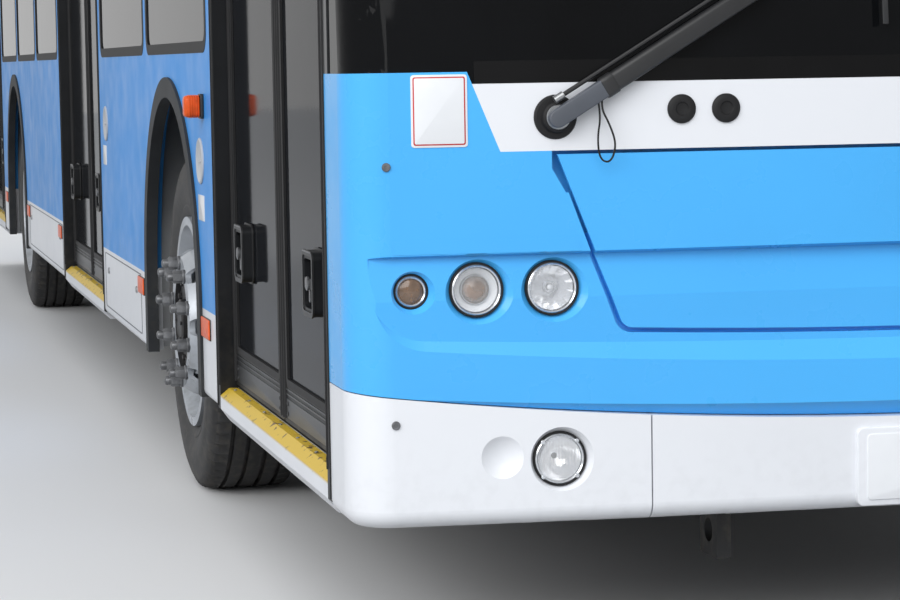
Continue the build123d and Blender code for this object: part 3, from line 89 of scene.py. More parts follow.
class TROLLEYBUS_PG_paint(bpy.types.PropertyGroup):
    """Colours of the body."""

    front_blue: tint("Front blue", (0.075, 0.46, 0.96), "Paint of the front mask and hatch")
    side_blue: tint("Side blue", (0.055, 0.32, 0.80), "Paint of the side and rear walls")
    white: tint("White", (0.80, 0.82, 0.86), "Paint of the band, bumpers, skirts and roof")
    yellow: tint("Yellow", (0.66, 0.45, 0.04), "Step edges and handrails")
    black: tint("Black", (0.012, 0.013, 0.015), "Door frames and trim")
    orange: tint("Orange", (0.87, 0.12, 0.02), "Marker lamps")
    red: tint("Red", (0.55, 0.01, 0.01), "Rear lamps and the sign's border")


class TROLLEYBUS_PG_wheel(bpy.types.PropertyGroup):
    """Sizes of the wheels."""

    axle_z: length("Axle height", 0.478, "Height of the wheels' middle")
    front_x: length("Front axle", 3.28, "Place of the front axle")
    rear_x: length("Rear axle", -2.86, "Place of the rear axle")
    outer_y: length("Outer side", 1.235, "Distance of a tyre's outer side from the middle")
    width: length("Tyre width", 0.275, "Width of one tyre")
    twin_pitch: length("Twin pitch", 0.317, "Distance between the middles of twin tyres")
    bolt_circle: length("Bolt circle", 0.1675, "Radius of the circle of wheel nuts")
    nut_size: length("Nut size", 0.0185, "Radius over a nut's corners")
    bolts: IntProperty(name="Bolts", default=10, description="Number of wheel nuts")
    lugs: IntProperty(name="Tread lugs", default=72, description="Number of shoulder lugs round a tyre")


class TROLLEYBUS_PG_front(bpy.types.PropertyGroup):
    """Places and sizes of the fittings on the front."""

    lamp_z: length("Lamp height", 0.77, "Height of the round lamps")
    side_lamp_y: length("Side lamp", 1.153, "Distance of the small lamp from the middle")
    dipped_y: length("Dipped beam", 1.028, "Distance of the projector lamp from the middle")
    main_y: length("Main beam", 0.881, "Distance of the reflector lamp from the middle")
    lamp_radius: length("Lamp radius", 0.053, "Outer radius of a large lamp")
    small_radius: length("Small lamp radius", 0.034, "Outer radius of the small lamp")
    fog_y: length("Fog lamp", 0.873, "Distance of the fog lamp from the middle")
    fog_z: length("Fog lamp height", 0.441, "Height of the fog lamp")
    set_back: length("Set back", 0.007, "How far a lamp's rim lies behind the panel")
    wiper_y: length("Wiper pivot", 0.875, "Distance of a wiper's pivot from the middle")
    wiper_z: length("Wiper pivot height", 1.097, "Height of a wiper's pivot")
    wiper_arm: length("Wiper arm", 0.76, "Length of a wiper's arm")
    wiper_blade: length("Wiper blade", 0.9, "Length of a wiper's blade")
    wiper_angle: amount("Wiper angle", 31.0, "Rise of a wiper's arm, in degrees")
    sign_width: length("Sign width", 0.108, "Width of the blank sign plate")
    sign_height: length("Sign height", 0.137, "Height of the blank sign plate")
    sign_y: length("Sign place", -1.098, "Middle of the sign plate")
    sign_z: length("Sign height above ground", 1.112, "Middle of the sign plate")
    plate_width: length("Number plate width", 0.52, "Width of the blank number plate")
    plate_height: length("Number plate height", 0.13, "Height of the blank number plate")
    plate_z: length("Number plate place", 0.40, "Middle of the number plate")


class TROLLEYBUS_PG_stage(bpy.types.PropertyGroup):
    """Camera, floor and light."""

    eye: FloatVectorProperty(
        name="Camera", default=(10.95, -2.236, 1.206), description="Place of the camera", subtype="XYZ", unit="LENGTH"
    )
    heading: amount("Heading", 13.0, "Turn of the view from the vehicle's length, in degrees")
    pitch: amount("Pitch", 5.04, "How far the camera looks down, in degrees")
    roll: amount("Roll", -0.91, "Roll of the camera, in degrees")
    lens: amount("Lens", 108.4, "Focal length on a 36 mm sensor, in millimetres")
    floor: tint("Floor", (0.78, 0.78, 0.78), "Colour of the floor")
    shade: tint("Floor shade", (0.3, 0.3, 0.3), "Colour of the light that the floor throws back")


# Tools for making


def deselect():
    """Leaves nothing selected, in object mode."""
    if bpy.context.object and bpy.context.object.mode != "OBJECT":
        bpy.ops.object.mode_set(mode="OBJECT")
    bpy.ops.object.select_all(action="DESELECT")


def pick(*pieces):
    """Selects these pieces alone; the first is active."""
    deselect()
    for piece in pieces:
        piece.select_set(True)
    bpy.context.view_layer.objects.active = pieces[0]


def choose(piece, kind, test):
    """Opens a piece in edit mode and selects its faces or edges that pass a test."""
    pick(piece)
    bpy.ops.object.mode_set(mode="EDIT")
    bpy.ops.mesh.select_mode(type=kind)
    bpy.ops.mesh.select_all(action="DESELECT")
    mesh = bmesh.from_edit_mesh(piece.data)
    for item in mesh.faces if kind == "FACE" else mesh.edges:
        if test(item):
            item.select_set(True)
    bmesh.update_edit_mesh(piece.data)


def settle(piece):
    """Applies a piece's place, turn and size, so that its object sits at the origin."""
    pick(piece)
    bpy.ops.object.transform_apply(location=True, rotation=True, scale=True)
    return piece


def modify(piece, kind, **settings):
    """Adds a modifier and applies it."""
    pick(piece)
    modifier = piece.modifiers.new(kind.title(), kind)
    for name, value in settings.items():
        setattr(modifier, name, value)
    bpy.ops.object.modifier_apply(modifier=modifier.name)
    return piece


def mend(piece):
    """Merges doubled points and turns all faces outwards."""
    pick(piece)
    bpy.ops.object.mode_set(mode="EDIT")
    bpy.ops.mesh.select_all(action="SELECT")
    bpy.ops.mesh.remove_doubles(threshold=MERGE)
    bpy.ops.mesh.normals_make_consistent(inside=False)
    bpy.ops.object.mode_set(mode="OBJECT")
    return piece


def turned(profile, centre=(0, 0, 0), axis=(1, 0, 0), steps=48, ring=False):
    """A lathe: a circle is extruded and scaled along a profile of (radius, height), then laid on an axis.

    A ring's profile is closed; any other profile has both ends filled."""
    deselect()
    radius, height = profile[0]
    fill = "NOTHING" if ring else "NGON"
    bpy.ops.mesh.primitive_circle_add(vertices=steps, radius=radius, fill_type=fill, location=(0, 0, height))
    piece = bpy.context.object
    settle(piece)
    bpy.ops.object.mode_set(mode="EDIT")
    bpy.ops.mesh.select_mode(type="EDGE")
    bpy.ops.mesh.select_all(action="SELECT")
    for next_radius, next_height in profile[1:] + (profile[:1] if ring else []):
        lift = (0, 0, next_height - height)
        bpy.ops.mesh.extrude_region_move(TRANSFORM_OT_translate={"value": lift})
        scale = next_radius / radius
        bpy.ops.transform.resize(value=(scale, scale, 1), center_override=(0, 0, next_height))
        radius, height = next_radius, next_height
    bpy.ops.object.mode_set(mode="OBJECT")
    mend(piece)
    piece.rotation_mode = "QUATERNION"
    piece.rotation_quaternion = Vector(axis).to_track_quat("Z", "Y")
    piece.location = centre
    return settle(piece)


def slab(low, high, corner=0.0, along=0, edge=0.0, segments=4):
    """A block between two corners, with the edges along one axis rounded, then all edges softened."""
    deselect()
    low, high = Vector(low), Vector(high)
    bpy.ops.mesh.primitive_cube_add(size=1, location=(low + high) / 2)
    piece = bpy.context.object
    piece.scale = high - low
    settle(piece)
    if corner:
        others = [n for n in range(3) if n != along]
        choose(piece, "EDGE", lambda e: all(abs((e.verts[0].co - e.verts[1].co)[n]) < 1e-6 for n in others))
        bpy.ops.mesh.bevel(offset=corner, segments=segments, affect="EDGES")
        bpy.ops.object.mode_set(mode="OBJECT")
    if edge:
        modify(piece, "BEVEL", width=edge, segments=3, limit_method="ANGLE", angle_limit=math.radians(40))
    return piece


def bar(points, radius, steps=12):
    """A round bar that runs smoothly through points."""
    deselect()
    bpy.ops.curve.primitive_nurbs_path_add()
    piece = bpy.context.object
    piece.data.splines.clear()
    spline = piece.data.splines.new("NURBS")
    spline.points.add(len(points) - 1)
    for point, place in zip(spline.points, points):
        point.co = (*place, 1)
    spline.order_u = 3 if len(points) > 2 else 2
    spline.use_endpoint_u = True
    piece.data.bevel_depth = radius
    piece.data.bevel_resolution = steps // 4
    piece.data.use_fill_caps = True
    bpy.ops.object.convert(target="MESH")
    return settle(bpy.context.object)


def join(pieces):
    """Several shapes as one piece."""
    pick(*pieces)
    if len(pieces) > 1:
        bpy.ops.object.join()
    return bpy.context.object


def dress(piece, name, body, finish, smooth=35):
    """Names a finished piece or a list of shapes, gives it its finish and lets it ride on a body."""
    piece = settle(join(piece) if isinstance(piece, list) else piece)
    piece.name = piece.data.name = name
    if smooth:
        bpy.ops.object.shade_smooth_by_angle(angle=math.radians(smooth))
    piece.data.materials.clear()
    piece.data.materials.append(FINISHES[finish])
    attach(piece, body)
    return piece


def skin(node, y, z, way=1):
    """The point of a front or rear panel at a place in end view, and its outward normal."""
    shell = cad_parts[node]
    hit, point, normal, _ = shell.ray_cast(Vector((RAY_X * way, y, z)), Vector((-way, 0, 0)))
    if not hit or point.x * way < END_X:
        _, point, normal, _ = shell.closest_point_on_mesh(Vector((-REAR_X * way, y, z)))
    return point, normal


def wrap(node, low, high, proud=0.0006, thick=0.0008, columns=40, way=1):
    """A strip laid on a front or rear panel between two corners (Y, Z)."""
    deselect()
    bpy.ops.mesh.primitive_grid_add(x_subdivisions=columns, y_subdivisions=2, size=1)
    piece = bpy.context.object
    for vertex in piece.data.vertices:
        y = (low[0] + high[0]) / 2 + way * vertex.co.x * (high[0] - low[0])
        z = (low[1] + high[1]) / 2 + vertex.co.y * (high[1] - low[1])
        vertex.co = skin(node, y, z, way)[0] + Vector((way * proud, 0, 0))
    return modify(piece, "SOLIDIFY", thickness=thick, offset=1)


def facing(outward, place=(0, 0, 0)):
    """Stands a flat shape upright at a place: its Z looks outward, its Y up."""
    out = Vector(outward).normalized()
    right = Vector((0, 0, 1)).cross(out).normalized()
    return Matrix.Translation(place) @ Matrix((right, out.cross(right), out)).transposed().to_4x4()


def leaning(along, up, place=(0, 0, 0)):
    """Lays a shape with its X along one direction and its Z as near as can be to another."""
    ahead = Vector(along).normalized()
    side = Vector(up).cross(ahead).normalized()
    return Matrix.Translation(place) @ Matrix((ahead, side, ahead.cross(side))).transposed().to_4x4()


def put(piece, matrix):
    """Moves a shape's mesh by a matrix."""
    piece.data.transform(matrix)
    return piece


def hoop(centre, size, corner, width, thick, rise=0.0):
    """A flat rounded frame: a plane with rounded corners is inset, opened and given its thickness."""
    deselect()
    bpy.ops.mesh.primitive_plane_add(size=1, location=(*centre, rise))
    piece = bpy.context.object
    piece.scale = (*size, 1)
    settle(piece)
    bpy.ops.object.mode_set(mode="EDIT")
    bpy.ops.mesh.select_all(action="SELECT")
    bpy.ops.mesh.bevel(offset=corner, segments=6, affect="VERTICES")
    bpy.ops.mesh.select_mode(type="FACE")
    bpy.ops.mesh.select_all(action="SELECT")
    bpy.ops.mesh.inset(thickness=width)
    bpy.ops.mesh.delete(type="FACE")
    bpy.ops.mesh.select_all(action="SELECT")
    bpy.ops.mesh.extrude_region_move(TRANSFORM_OT_translate={"value": (0, 0, thick)})
    bpy.ops.object.mode_set(mode="OBJECT")
    return mend(piece)


def pad(centre, size, corner, thick, rise=0.0, edge=0.0006):
    """A flat rounded plate with softened edges."""
    half = (size[0] / 2, size[1] / 2)
    low = (centre[0] - half[0], centre[1] - half[1], rise)
    return slab(low, (centre[0] + half[0], centre[1] + half[1], rise + thick), corner, 2, edge)


def screw(centre, radius, rise=0.0):
    """A round screw head with a sunken middle."""
    profile = [(radius, 0), (radius, 0.3 * radius), (0.8 * radius, 0.5 * radius), (0.45 * radius, 0.5 * radius)]
    profile += [(0.4 * radius, 0.25 * radius), (0.1 * radius, 0.25 * radius)]
    return turned(profile, (*centre, rise), (0, 0, 1), 16)


def solids_of(node):
    """The corners of a CAD node's separate solids."""
    mesh = bmesh.new()
    mesh.from_mesh(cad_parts[node].data)
    bmesh.ops.remove_doubles(mesh, verts=mesh.verts, dist=MERGE)
    left, boxes = set(mesh.verts), []
    while left:
        front, group = [left.pop()], []
        while front:
            vertex = front.pop()
            group.append(vertex.co.copy())
            for edge in vertex.link_edges:
                other = edge.other_vert(vertex)
                if other in left:
                    left.remove(other)
                    front.append(other)
        boxes.append((Vector(map(min, zip(*group))), Vector(map(max, zip(*group)))))
    mesh.free()
    return sorted(boxes, key=lambda box: tuple(box[0]))


# Finishes

FINISHES = {}


class Recipe:
    """Builds one procedural finish on Object coordinates."""

    def __init__(self, name, colour, roughness, metallic=0.0, **sockets):
        self.material = bpy.data.materials.new(name)
        self.material.use_nodes = True
        self.nodes = self.material.node_tree.nodes
        self.links = self.material.node_tree.links
        self.shader = self.nodes["Principled BSDF"]
        self.place = self.nodes.new("ShaderNodeTexCoord").outputs["Object"]
        self.colour = colour
        self.tone = None
        self.normal = None
        self.shader.inputs["Base Color"].default_value = (*colour, 1)
        self.shader.inputs["Roughness"].default_value = roughness
        self.shader.inputs["Metallic"].default_value = metallic
        for socket, value in sockets.items():
            self.shader.inputs[socket.replace("_", " ")].default_value = value
        FINISHES[name] = self.material

    def noise(self, scale, detail=4.0, squeeze=(1, 1, 1)):
        """A noise pattern; squeeze stretches it along an axis."""
        place = self.place
        if squeeze != (1, 1, 1):
            mapping = self.nodes.new("ShaderNodeMapping")
            mapping.inputs["Scale"].default_value = squeeze
            self.links.new(place, mapping.inputs["Vector"])
            place = mapping.outputs["Vector"]
        noise = self.nodes.new("ShaderNodeTexNoise")
        noise.inputs["Scale"].default_value = scale
        noise.inputs["Detail"].default_value = detail
        self.links.new(place, noise.inputs["Vector"])
        return noise.outputs["Fac"]

    def spread(self, value, low, high, to_low=0.0, to_high=1.0):
        """Maps a value from one range to another."""
        node = self.nodes.new("ShaderNodeMapRange")
        for socket, number in zip(("From Min", "From Max", "To Min", "To Max"), (low, high, to_low, to_high)):
            node.inputs[socket].default_value = number
        self.links.new(value, node.inputs["Value"])
        return node.outputs["Result"]

    def times(self, a, b):
        """The product of two values."""
        node = self.nodes.new("ShaderNodeMath")
        node.operation = "MULTIPLY"
        for value, socket in ((a, node.inputs[0]), (b, node.inputs[1])):
            if isinstance(value, float):
                socket.default_value = value
            else:
                self.links.new(value, socket)
        return node.outputs[0]

    def blend(self, factor, colour):
        """Lays another colour over what is there."""
        node = self.nodes.new("ShaderNodeMix")
        node.data_type = "RGBA"
        self.links.new(factor, node.inputs["Factor"])
        if self.tone is None:
            node.inputs["A"].default_value = (*self.colour, 1)
        else:
            self.links.new(self.tone, node.inputs["A"])
        node.inputs["B"].default_value = (*colour, 1)
        self.tone = node.outputs["Result"]
        self.links.new(self.tone, self.shader.inputs["Base Color"])
        return self

    def mottled(self, amount=0.15, scale=5.0, squeeze=(1, 1, 1)):
        """Slow changes of tone."""
        darker = [c * (1 - amount) for c in self.colour]
        return self.blend(self.spread(self.noise(scale, 5.0, squeeze), 0.35, 0.65), darker)

    def uneven(self, low, high, scale=8.0):
        """Uneven gloss."""
        self.links.new(self.spread(self.noise(scale, 6.0), 0.3, 0.7, low, high), self.shader.inputs["Roughness"])
        return self

    def bumped(self, scale, distance, strength=0.5, squeeze=(1, 1, 1), detail=3.0):
        """Fine relief. Reliefs add up."""
        bump = self.nodes.new("ShaderNodeBump")
        bump.inputs["Strength"].default_value = strength
        bump.inputs["Distance"].default_value = distance
        self.links.new(self.noise(scale, detail, squeeze), bump.inputs["Height"])
        if self.normal is not None:
            self.links.new(self.normal, bump.inputs["Normal"])
        self.normal = bump.outputs["Normal"]
        self.links.new(self.normal, self.shader.inputs["Normal"])
        return self

    def edged(self, low, high, colour):
        """Another colour above a height, as on a step's painted upper face."""
        split = self.nodes.new("ShaderNodeSeparateXYZ")
        self.links.new(self.place, split.inputs[0])
        return self.blend(self.spread(split.outputs["Z"], low, high), colour)

    def wear_and_reflection_patches(self, scale, low, high, colour, above):
        """Patches of another colour above a height, such as worn paint, dried drops or grime, and on the door panes
        painted reflection.
        """
        split = self.nodes.new("ShaderNodeSeparateXYZ")
        self.links.new(self.place, split.inputs[0])
        patches = self.spread(self.noise(scale, 6.0), low, high)
        return self.blend(self.times(patches, self.spread(split.outputs["Z"], above, above + 0.02)), colour)

    def splashed(self, top, amount, colour=(0.085, 0.075, 0.06)):
        """Road dirt that gets denser towards the ground."""
        split = self.nodes.new("ShaderNodeSeparateXYZ")
        self.links.new(self.place, split.inputs[0])
        height = self.spread(split.outputs["Z"], top, 0.2)
        specks = self.spread(self.noise(38.0, 8.0), 0.46, 0.7)
        return self.blend(self.times(self.times(height, specks), float(amount)), colour)


def make_finishes(paint):
    """All finishes of the part."""
    Recipe("front_blue", paint.front_blue, 0.32, Specular_IOR_Level=0.3, Coat_Weight=0.15, Coat_Roughness=0.06).mottled(
        0.06, 1.2
    ).uneven(0.24, 0.36).bumped(180, 0.0002, 0.15)
    Recipe("side_blue", paint.side_blue, 0.38, Specular_IOR_Level=0.14).mottled(0.08, 1.0).uneven(0.3, 0.46).bumped(
        160, 0.0002, 0.2
    ).splashed(0.9, 0.16)
    Recipe("white", paint.white, 0.34, Coat_Weight=0.2, Coat_Roughness=0.07).mottled(0.05, 1.3).uneven(
        0.28, 0.42
    ).bumped(170, 0.0002, 0.15).splashed(0.5, 0.1)
    Recipe("screen_frame", paint.white, 0.34, Coat_Weight=0.2, Coat_Roughness=0.07).edged(
        1.1625, 1.1635, paint.black
    ).edged(2.566, 2.567, paint.white).bumped(170, 0.0002, 0.15)
    Recipe("roof_white", paint.white, 0.45).mottled(0.1, 1.5, (1, 3, 1)).uneven(0.4, 0.6).bumped(90, 0.0003, 0.2)
    Recipe("black_metal", paint.black, 0.42, Specular_IOR_Level=0.2).mottled(0.3, 9).uneven(0.36, 0.5).bumped(
        300, 0.0002, 0.25
    ).splashed(0.8, 0.25)
    Recipe("black_rubber", (0.011, 0.011, 0.012), 0.6, Specular_IOR_Level=0.3).mottled(0.3, 14).bumped(
        420, 0.0002, 0.35
    )
    Recipe("black_plastic", (0.014, 0.0145, 0.016), 0.42).mottled(0.25, 12).bumped(900, 0.0002, 0.4)
    Recipe("border_black", (0.003, 0.003, 0.0035), 0.25, Specular_IOR_Level=0.15).mottled(0.3, 12).bumped(
        600, 0.0001, 0.2
    )
    Recipe("grey_plastic", (0.085, 0.095, 0.115), 0.4).mottled(0.15, 12).bumped(700, 0.0002, 0.3)
    Recipe("underframe", (0.018, 0.018, 0.019), 0.65).mottled(0.4, 6).bumped(120, 0.0004, 0.5).splashed(0.7, 0.6)
    Recipe("step_paint", paint.white, 0.42, Specular_IOR_Level=0.3).mottled(0.06, 3).edged(
        0.368, 0.3745, paint.yellow
    ).wear_and_reflection_patches(34.0, 0.6, 0.64, (0.11, 0.06, 0.025), 0.366).bumped(150, 0.0004, 0.4)
    Recipe("rail_yellow", paint.yellow, 0.3, Coat_Weight=0.4).mottled(0.08, 10).bumped(300, 0.0001, 0.2)
    Recipe("arch_rubber", (0.035, 0.038, 0.042), 0.6, Specular_IOR_Level=0.2).mottled(0.3, 8).bumped(
        260, 0.0003, 0.4
    ).splashed(0.9, 0.3)
    Recipe("tyre_rubber", (0.022, 0.022, 0.023), 0.62).mottled(0.35, 8).bumped(330, 0.0003, 0.45).splashed(1.4, 0.45)
    Recipe("wheel_silver", (0.5, 0.53, 0.57), 0.34, 0.45).mottled(0.2, 7).uneven(0.26, 0.46).bumped(
        220, 0.0003, 0.35
    ).splashed(0.75, 0.3)
    Recipe("hub_iron", (0.03, 0.03, 0.033), 0.5, 0.3).mottled(0.4, 18).bumped(150, 0.0005, 0.6).splashed(1.2, 0.3)
    Recipe("nut_steel", (0.2, 0.205, 0.215), 0.38, 0.7).mottled(0.4, 40).uneven(0.28, 0.5, 60).bumped(400, 0.0002, 0.3)
    Recipe("chrome", (0.75, 0.76, 0.78), 0.08, 1.0).uneven(0.05, 0.14, 30).mottled(0.05, 20)
    Recipe("lamp_silver", (0.62, 0.64, 0.67), 0.22, 0.85).mottled(0.15, 30).bumped(300, 0.0001, 0.2)
    Recipe("reflector", (0.95, 0.96, 0.98), 0.16, 0.8).mottled(0.1, 60).bumped(120, 0.0006, 0.4)
    Recipe("steel", (0.38, 0.39, 0.4), 0.32, 0.9).mottled(0.15, 12).bumped(500, 0.0001, 0.3, (1, 8, 8))
    Recipe("steel_dark", (0.05, 0.052, 0.056), 0.35, 0.6).mottled(0.2, 12).bumped(500, 0.0001, 0.3, (1, 8, 8))
    Recipe("copper", (0.42, 0.2, 0.1), 0.4, 0.9).mottled(0.3, 30).bumped(300, 0.0002, 0.4)
    Recipe("insulator", (0.16, 0.035, 0.02), 0.25, Coat_Weight=0.5).mottled(0.2, 20).bumped(200, 0.0002, 0.2)
    Recipe("lens_clear", (0.9, 0.92, 0.94), 0.03, Alpha=0.14, Coat_Weight=0.7).mottled(0.04, 50)
    Recipe("lens_amber", (0.3, 0.18, 0.11), 0.06, Alpha=0.72, Coat_Weight=0.8).mottled(0.5, 45).bumped(
        90, 0.0008, 0.4
    )
    Recipe("lens_red", paint.red, 0.15, Coat_Weight=0.8).mottled(0.15, 70).bumped(300, 0.0005, 0.5)
    Recipe("lens_orange", paint.orange, 0.3, Specular_IOR_Level=0.2).mottled(0.2, 60).bumped(260, 0.0005, 0.5)
    Recipe("windscreen_glass", (0.012, 0.013, 0.015), 0.03, Transmission_Weight=0.6, IOR=1.18).mottled(0.3, 3)
    # Door panes: the darker mottles and the large lighter patches are painted reflection.
    Recipe("door_glass", (0.018, 0.02, 0.024), 0.06, Transmission_Weight=0.4, IOR=1.1).mottled(0.3, 6).wear_and_reflection_patches(
        2.5, 0.2, 0.95, (0.027, 0.029, 0.034), 0.0
    ).wear_and_reflection_patches(120.0, 0.62, 0.7, (0.045, 0.048, 0.053), 0.0).bumped(70, 0.0004, 0.15)
    Recipe("plate_white", (0.82, 0.84, 0.87), 0.35, Coat_Weight=0.3).mottled(0.05, 9).bumped(260, 0.0001, 0.2)
    Recipe("sign_red", paint.red, 0.35, Coat_Weight=0.4).mottled(0.1, 30).bumped(260, 0.0001, 0.2)
    Recipe("roof_grey", (0.5, 0.52, 0.55), 0.45).mottled(0.12, 3).uneven(0.4, 0.6).bumped(140, 0.0003, 0.3)
    Recipe("pole_metal", (0.33, 0.34, 0.36), 0.38, 0.85).mottled(0.2, 5).bumped(200, 0.0002, 0.3)
    Recipe("cabin_grey", (0.3, 0.31, 0.32), 0.55).mottled(0.1, 6).bumped(420, 0.0003, 0.4)
    Recipe("dash_black", (0.03, 0.031, 0.033), 0.55).mottled(0.2, 8).bumped(520, 0.0003, 0.5)
    Recipe("seat_blue", (0.03, 0.075, 0.19), 0.5).mottled(0.12, 9).bumped(600, 0.0003, 0.4)
    Recipe("seat_cloth", (0.045, 0.05, 0.065), 0.85, Sheen_Weight=0.3, Sheen_Roughness=0.5).mottled(0.35, 160).bumped(
        900, 0.0006, 0.6, (1, 1, 2)
    ).bumped(60, 0.0006, 0.3)


NODE_FINISH = {
    "floor": "underframe",
    "wheel_boxes": "cabin_grey",
    "side_wall_right": "side_blue",
    "side_wall_left": "side_blue",
    "side_skirts": "white",
    "roof_shell": "roof_white",
    "front_mask": "front_blue",
    "front_hatch": "front_blue",
    "windscreen_frame": "screen_frame",
    "front_bumper": "white",
    "rear_wall": "side_blue",
    "rear_bumper": "white",
    "body_glass": "windscreen_glass",
    "front_lamps": "chrome",
    "rear_lamps": "lens_red",
    "side_markers": "lens_orange",
    "arch_trims": "arch_rubber",
    "door_frames": "black_metal",
    "door_steps": "step_paint",
    "mirrors": "black_plastic",
    "wipers": "black_plastic",
    "front_axle": "underframe",
    "rear_axle": "underframe",
    "traction_motor": "underframe",
    "roof_equipment": "roof_grey",
    "collector_mount": "underframe",
    "seats": "seat_blue",
    "cab_partition": "cabin_grey",
    "dashboard": "dash_black",
    "driver_seat": "dash_black",
    "steering_wheel": "dash_black",
    "handrails": "rail_yellow",
    "route_display": "dash_black",
}
NODE_FINISH_ENDS = {
    "knuckle": "underframe",
    "front_rim": "wheel_silver",
    "rear_rims": "wheel_silver",
    "front_tyre": "tyre_rubber",
    "rear_tyres": "tyre_rubber",
    "pole_swivel": "underframe",
    "trolley_pole": "pole_metal",
    "leaf": "black_metal",
    "pane": "door_glass",
}


def finish_of(node):
    """The finish of a CAD node."""
    if node in NODE_FINISH:
        return NODE_FINISH[node]
    return next(finish for part, finish in NODE_FINISH_ENDS.items() if part in node)


class TROLLEYBUS_OT_panels(bpy.types.Operator):
    """Gives every CAD panel its finish"""

    bl_idname = "trolleybus.panels"
    bl_label = "Panels"

    def execute(self, context):
        make_finishes(context.scene.trolleybus_paint)
        for name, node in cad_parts.items():
            node.data.materials.clear()
            node.data.materials.append(FINISHES[finish_of(name)])
        return {"FINISHED"}


# Wheels


def tyre_profile(width):
    """A road tyre's outline as (radius, distance from its middle), with four grooves in its tread."""
    half = width / 2
    side = [(0.292, 0.112), (0.300, 0.117), (0.322, 0.127), (0.330, 0.1285), (0.334, 0.127), (0.366, 0.1365)]
    side += [(0.405, 0.1365), (0.41, 0.1345), (0.432, 0.132), (0.45, 0.126), (0.466, 0.118), (0.472, 0.112)]
    outer = [(radius, half - (0.1375 - reach)) for radius, reach in side]
    tread = [(0.476, 0.102)]
    for groove in (0.07, 0.025, -0.025, -0.07):
        tread += [(0.478, groove + 0.0065), (0.465, groove + 0.004), (0.465, groove - 0.004), (0.478, groove - 0.0065)]
    tread += [(0.476, -0.102)]
    inner = [(radius, -reach) for radius, reach in reversed(outer)]
    inside = [(0.304, -half + 0.034), (0.304, half - 0.034)]
    return outer + tread + inner + inside


def make_tyre(wheel, x, y, side):
    """One tyre whose shoulders have lugs cut by notches."""
    steps = wheel.lugs * 2
    tyre = turned(tyre_profile(wheel.width), steps=steps, axis=(0, side, 0), ring=True)
    step = 2 * math.pi / steps
    for vertex in tyre.data.vertices:
        radius = math.hypot(vertex.co.x, vertex.co.z)
        turn = math.atan2(vertex.co.z, vertex.co.x) / step
        if radius > 0.4635 and abs(vertex.co.y) > 0.098 and round(turn) % 2:
            vertex.co.x *= 1 - 0.012 / radius
            vertex.co.z *= 1 - 0.012 / radius
    tyre.data.transform(Matrix.Translation((x, side * (y - wheel.width / 2), wheel.axle_z)))
    return tyre


def around(centre, radius, count, start=0.0):
    """Places on an upright circle that faces sideways."""
    x, y, z = centre
    turns = [2 * math.pi * (n + start) / count for n in range(count)]
    return [(x + radius * math.cos(turn), y, z + radius * math.sin(turn)) for turn in turns]


def wheel_nuts(wheel, x, face_y, side):
    """Capped wheel nuts on a circle."""
    nut_parts = []
    for place in around((x, side * face_y, wheel.axle_z), wheel.bolt_circle, wheel.bolts, 0.5):
        washer = [(0.0205, -0.001), (0.0205, 0.005), (0.018, 0.008)]
        nut_parts.append(turned(washer, place, (0, side, 0), 20))
        flats = [(wheel.nut_size, 0.006), (wheel.nut_size, 0.03), (0.0155, 0.034)]
        nut_parts.append(turned(flats, place, (0, side, 0), 6))
        bolt = [(0.0125, 0.03), (0.0125, 0.045), (0.0112, 0.049), (0.007, 0.0515), (0.002, 0.052)]
        nut_parts.append(turned(bolt, place, (0, side, 0), 16))
    return join(nut_parts)


def front_hub(wheel, side):
    """The dark hub face sunk in a front wheel's bell, with its cap and small bolts."""
    y = wheel.outer_y
    centre = (wheel.front_x, side * y, wheel.axle_z)
    ring = [(0.139, 0.0174), (0.139, 0.0025), (0.1355, 0.0025), (0.066, 0.0035), (0.066, 0.0022), (0.1386, 0.0015)]
    parts = [turned(ring, centre, (0, side, 0), 48, ring=True)]
    cap = [(0.0645, 0.003), (0.0645, 0.0195), (0.058, 0.0235), (0.05, 0.025), (0.046, 0.0235), (0.02, 0.0235)]
    parts.append(turned(cap + [(0.004, 0.0232)], centre, (0, side, 0), 40))
    for place in around((centre[0], side * (y + 0.0235), centre[2]), 0.054, 6):
        parts.append(turned([(0.0055, 0), (0.0055, 0.004), (0.003, 0.005)], place, (0, side, 0), 6))
    for place in around((centre[0], side * (y + 0.003), centre[2]), 0.112, wheel.bolts):
        parts.append(turned([(0.009, 0), (0.009, 0.008), (0.006, 0.01)], place, (0, side, 0), 6))
    return join(parts)


def rear_hub(wheel, side):
    """The planet hub cap and its bolts inside the rear wheels' dish."""
    centre = (wheel.rear_x, side * 1.175, wheel.axle_z)
    cap = [(0.13, -0.004), (0.13, 0.002), (0.118, 0.006), (0.098, 0.006), (0.09, 0.011), (0.05, 0.013), (0.004, 0.013)]
    parts = [turned(cap, centre, (0, side, 0), 48)]
    for place in around((centre[0], side * 1.18, centre[2]), 0.108, 12):
        parts.append(turned([(0.0075, 0), (0.0075, 0.007), (0.005, 0.0085)], place, (0, side, 0), 6))
    return join(parts)


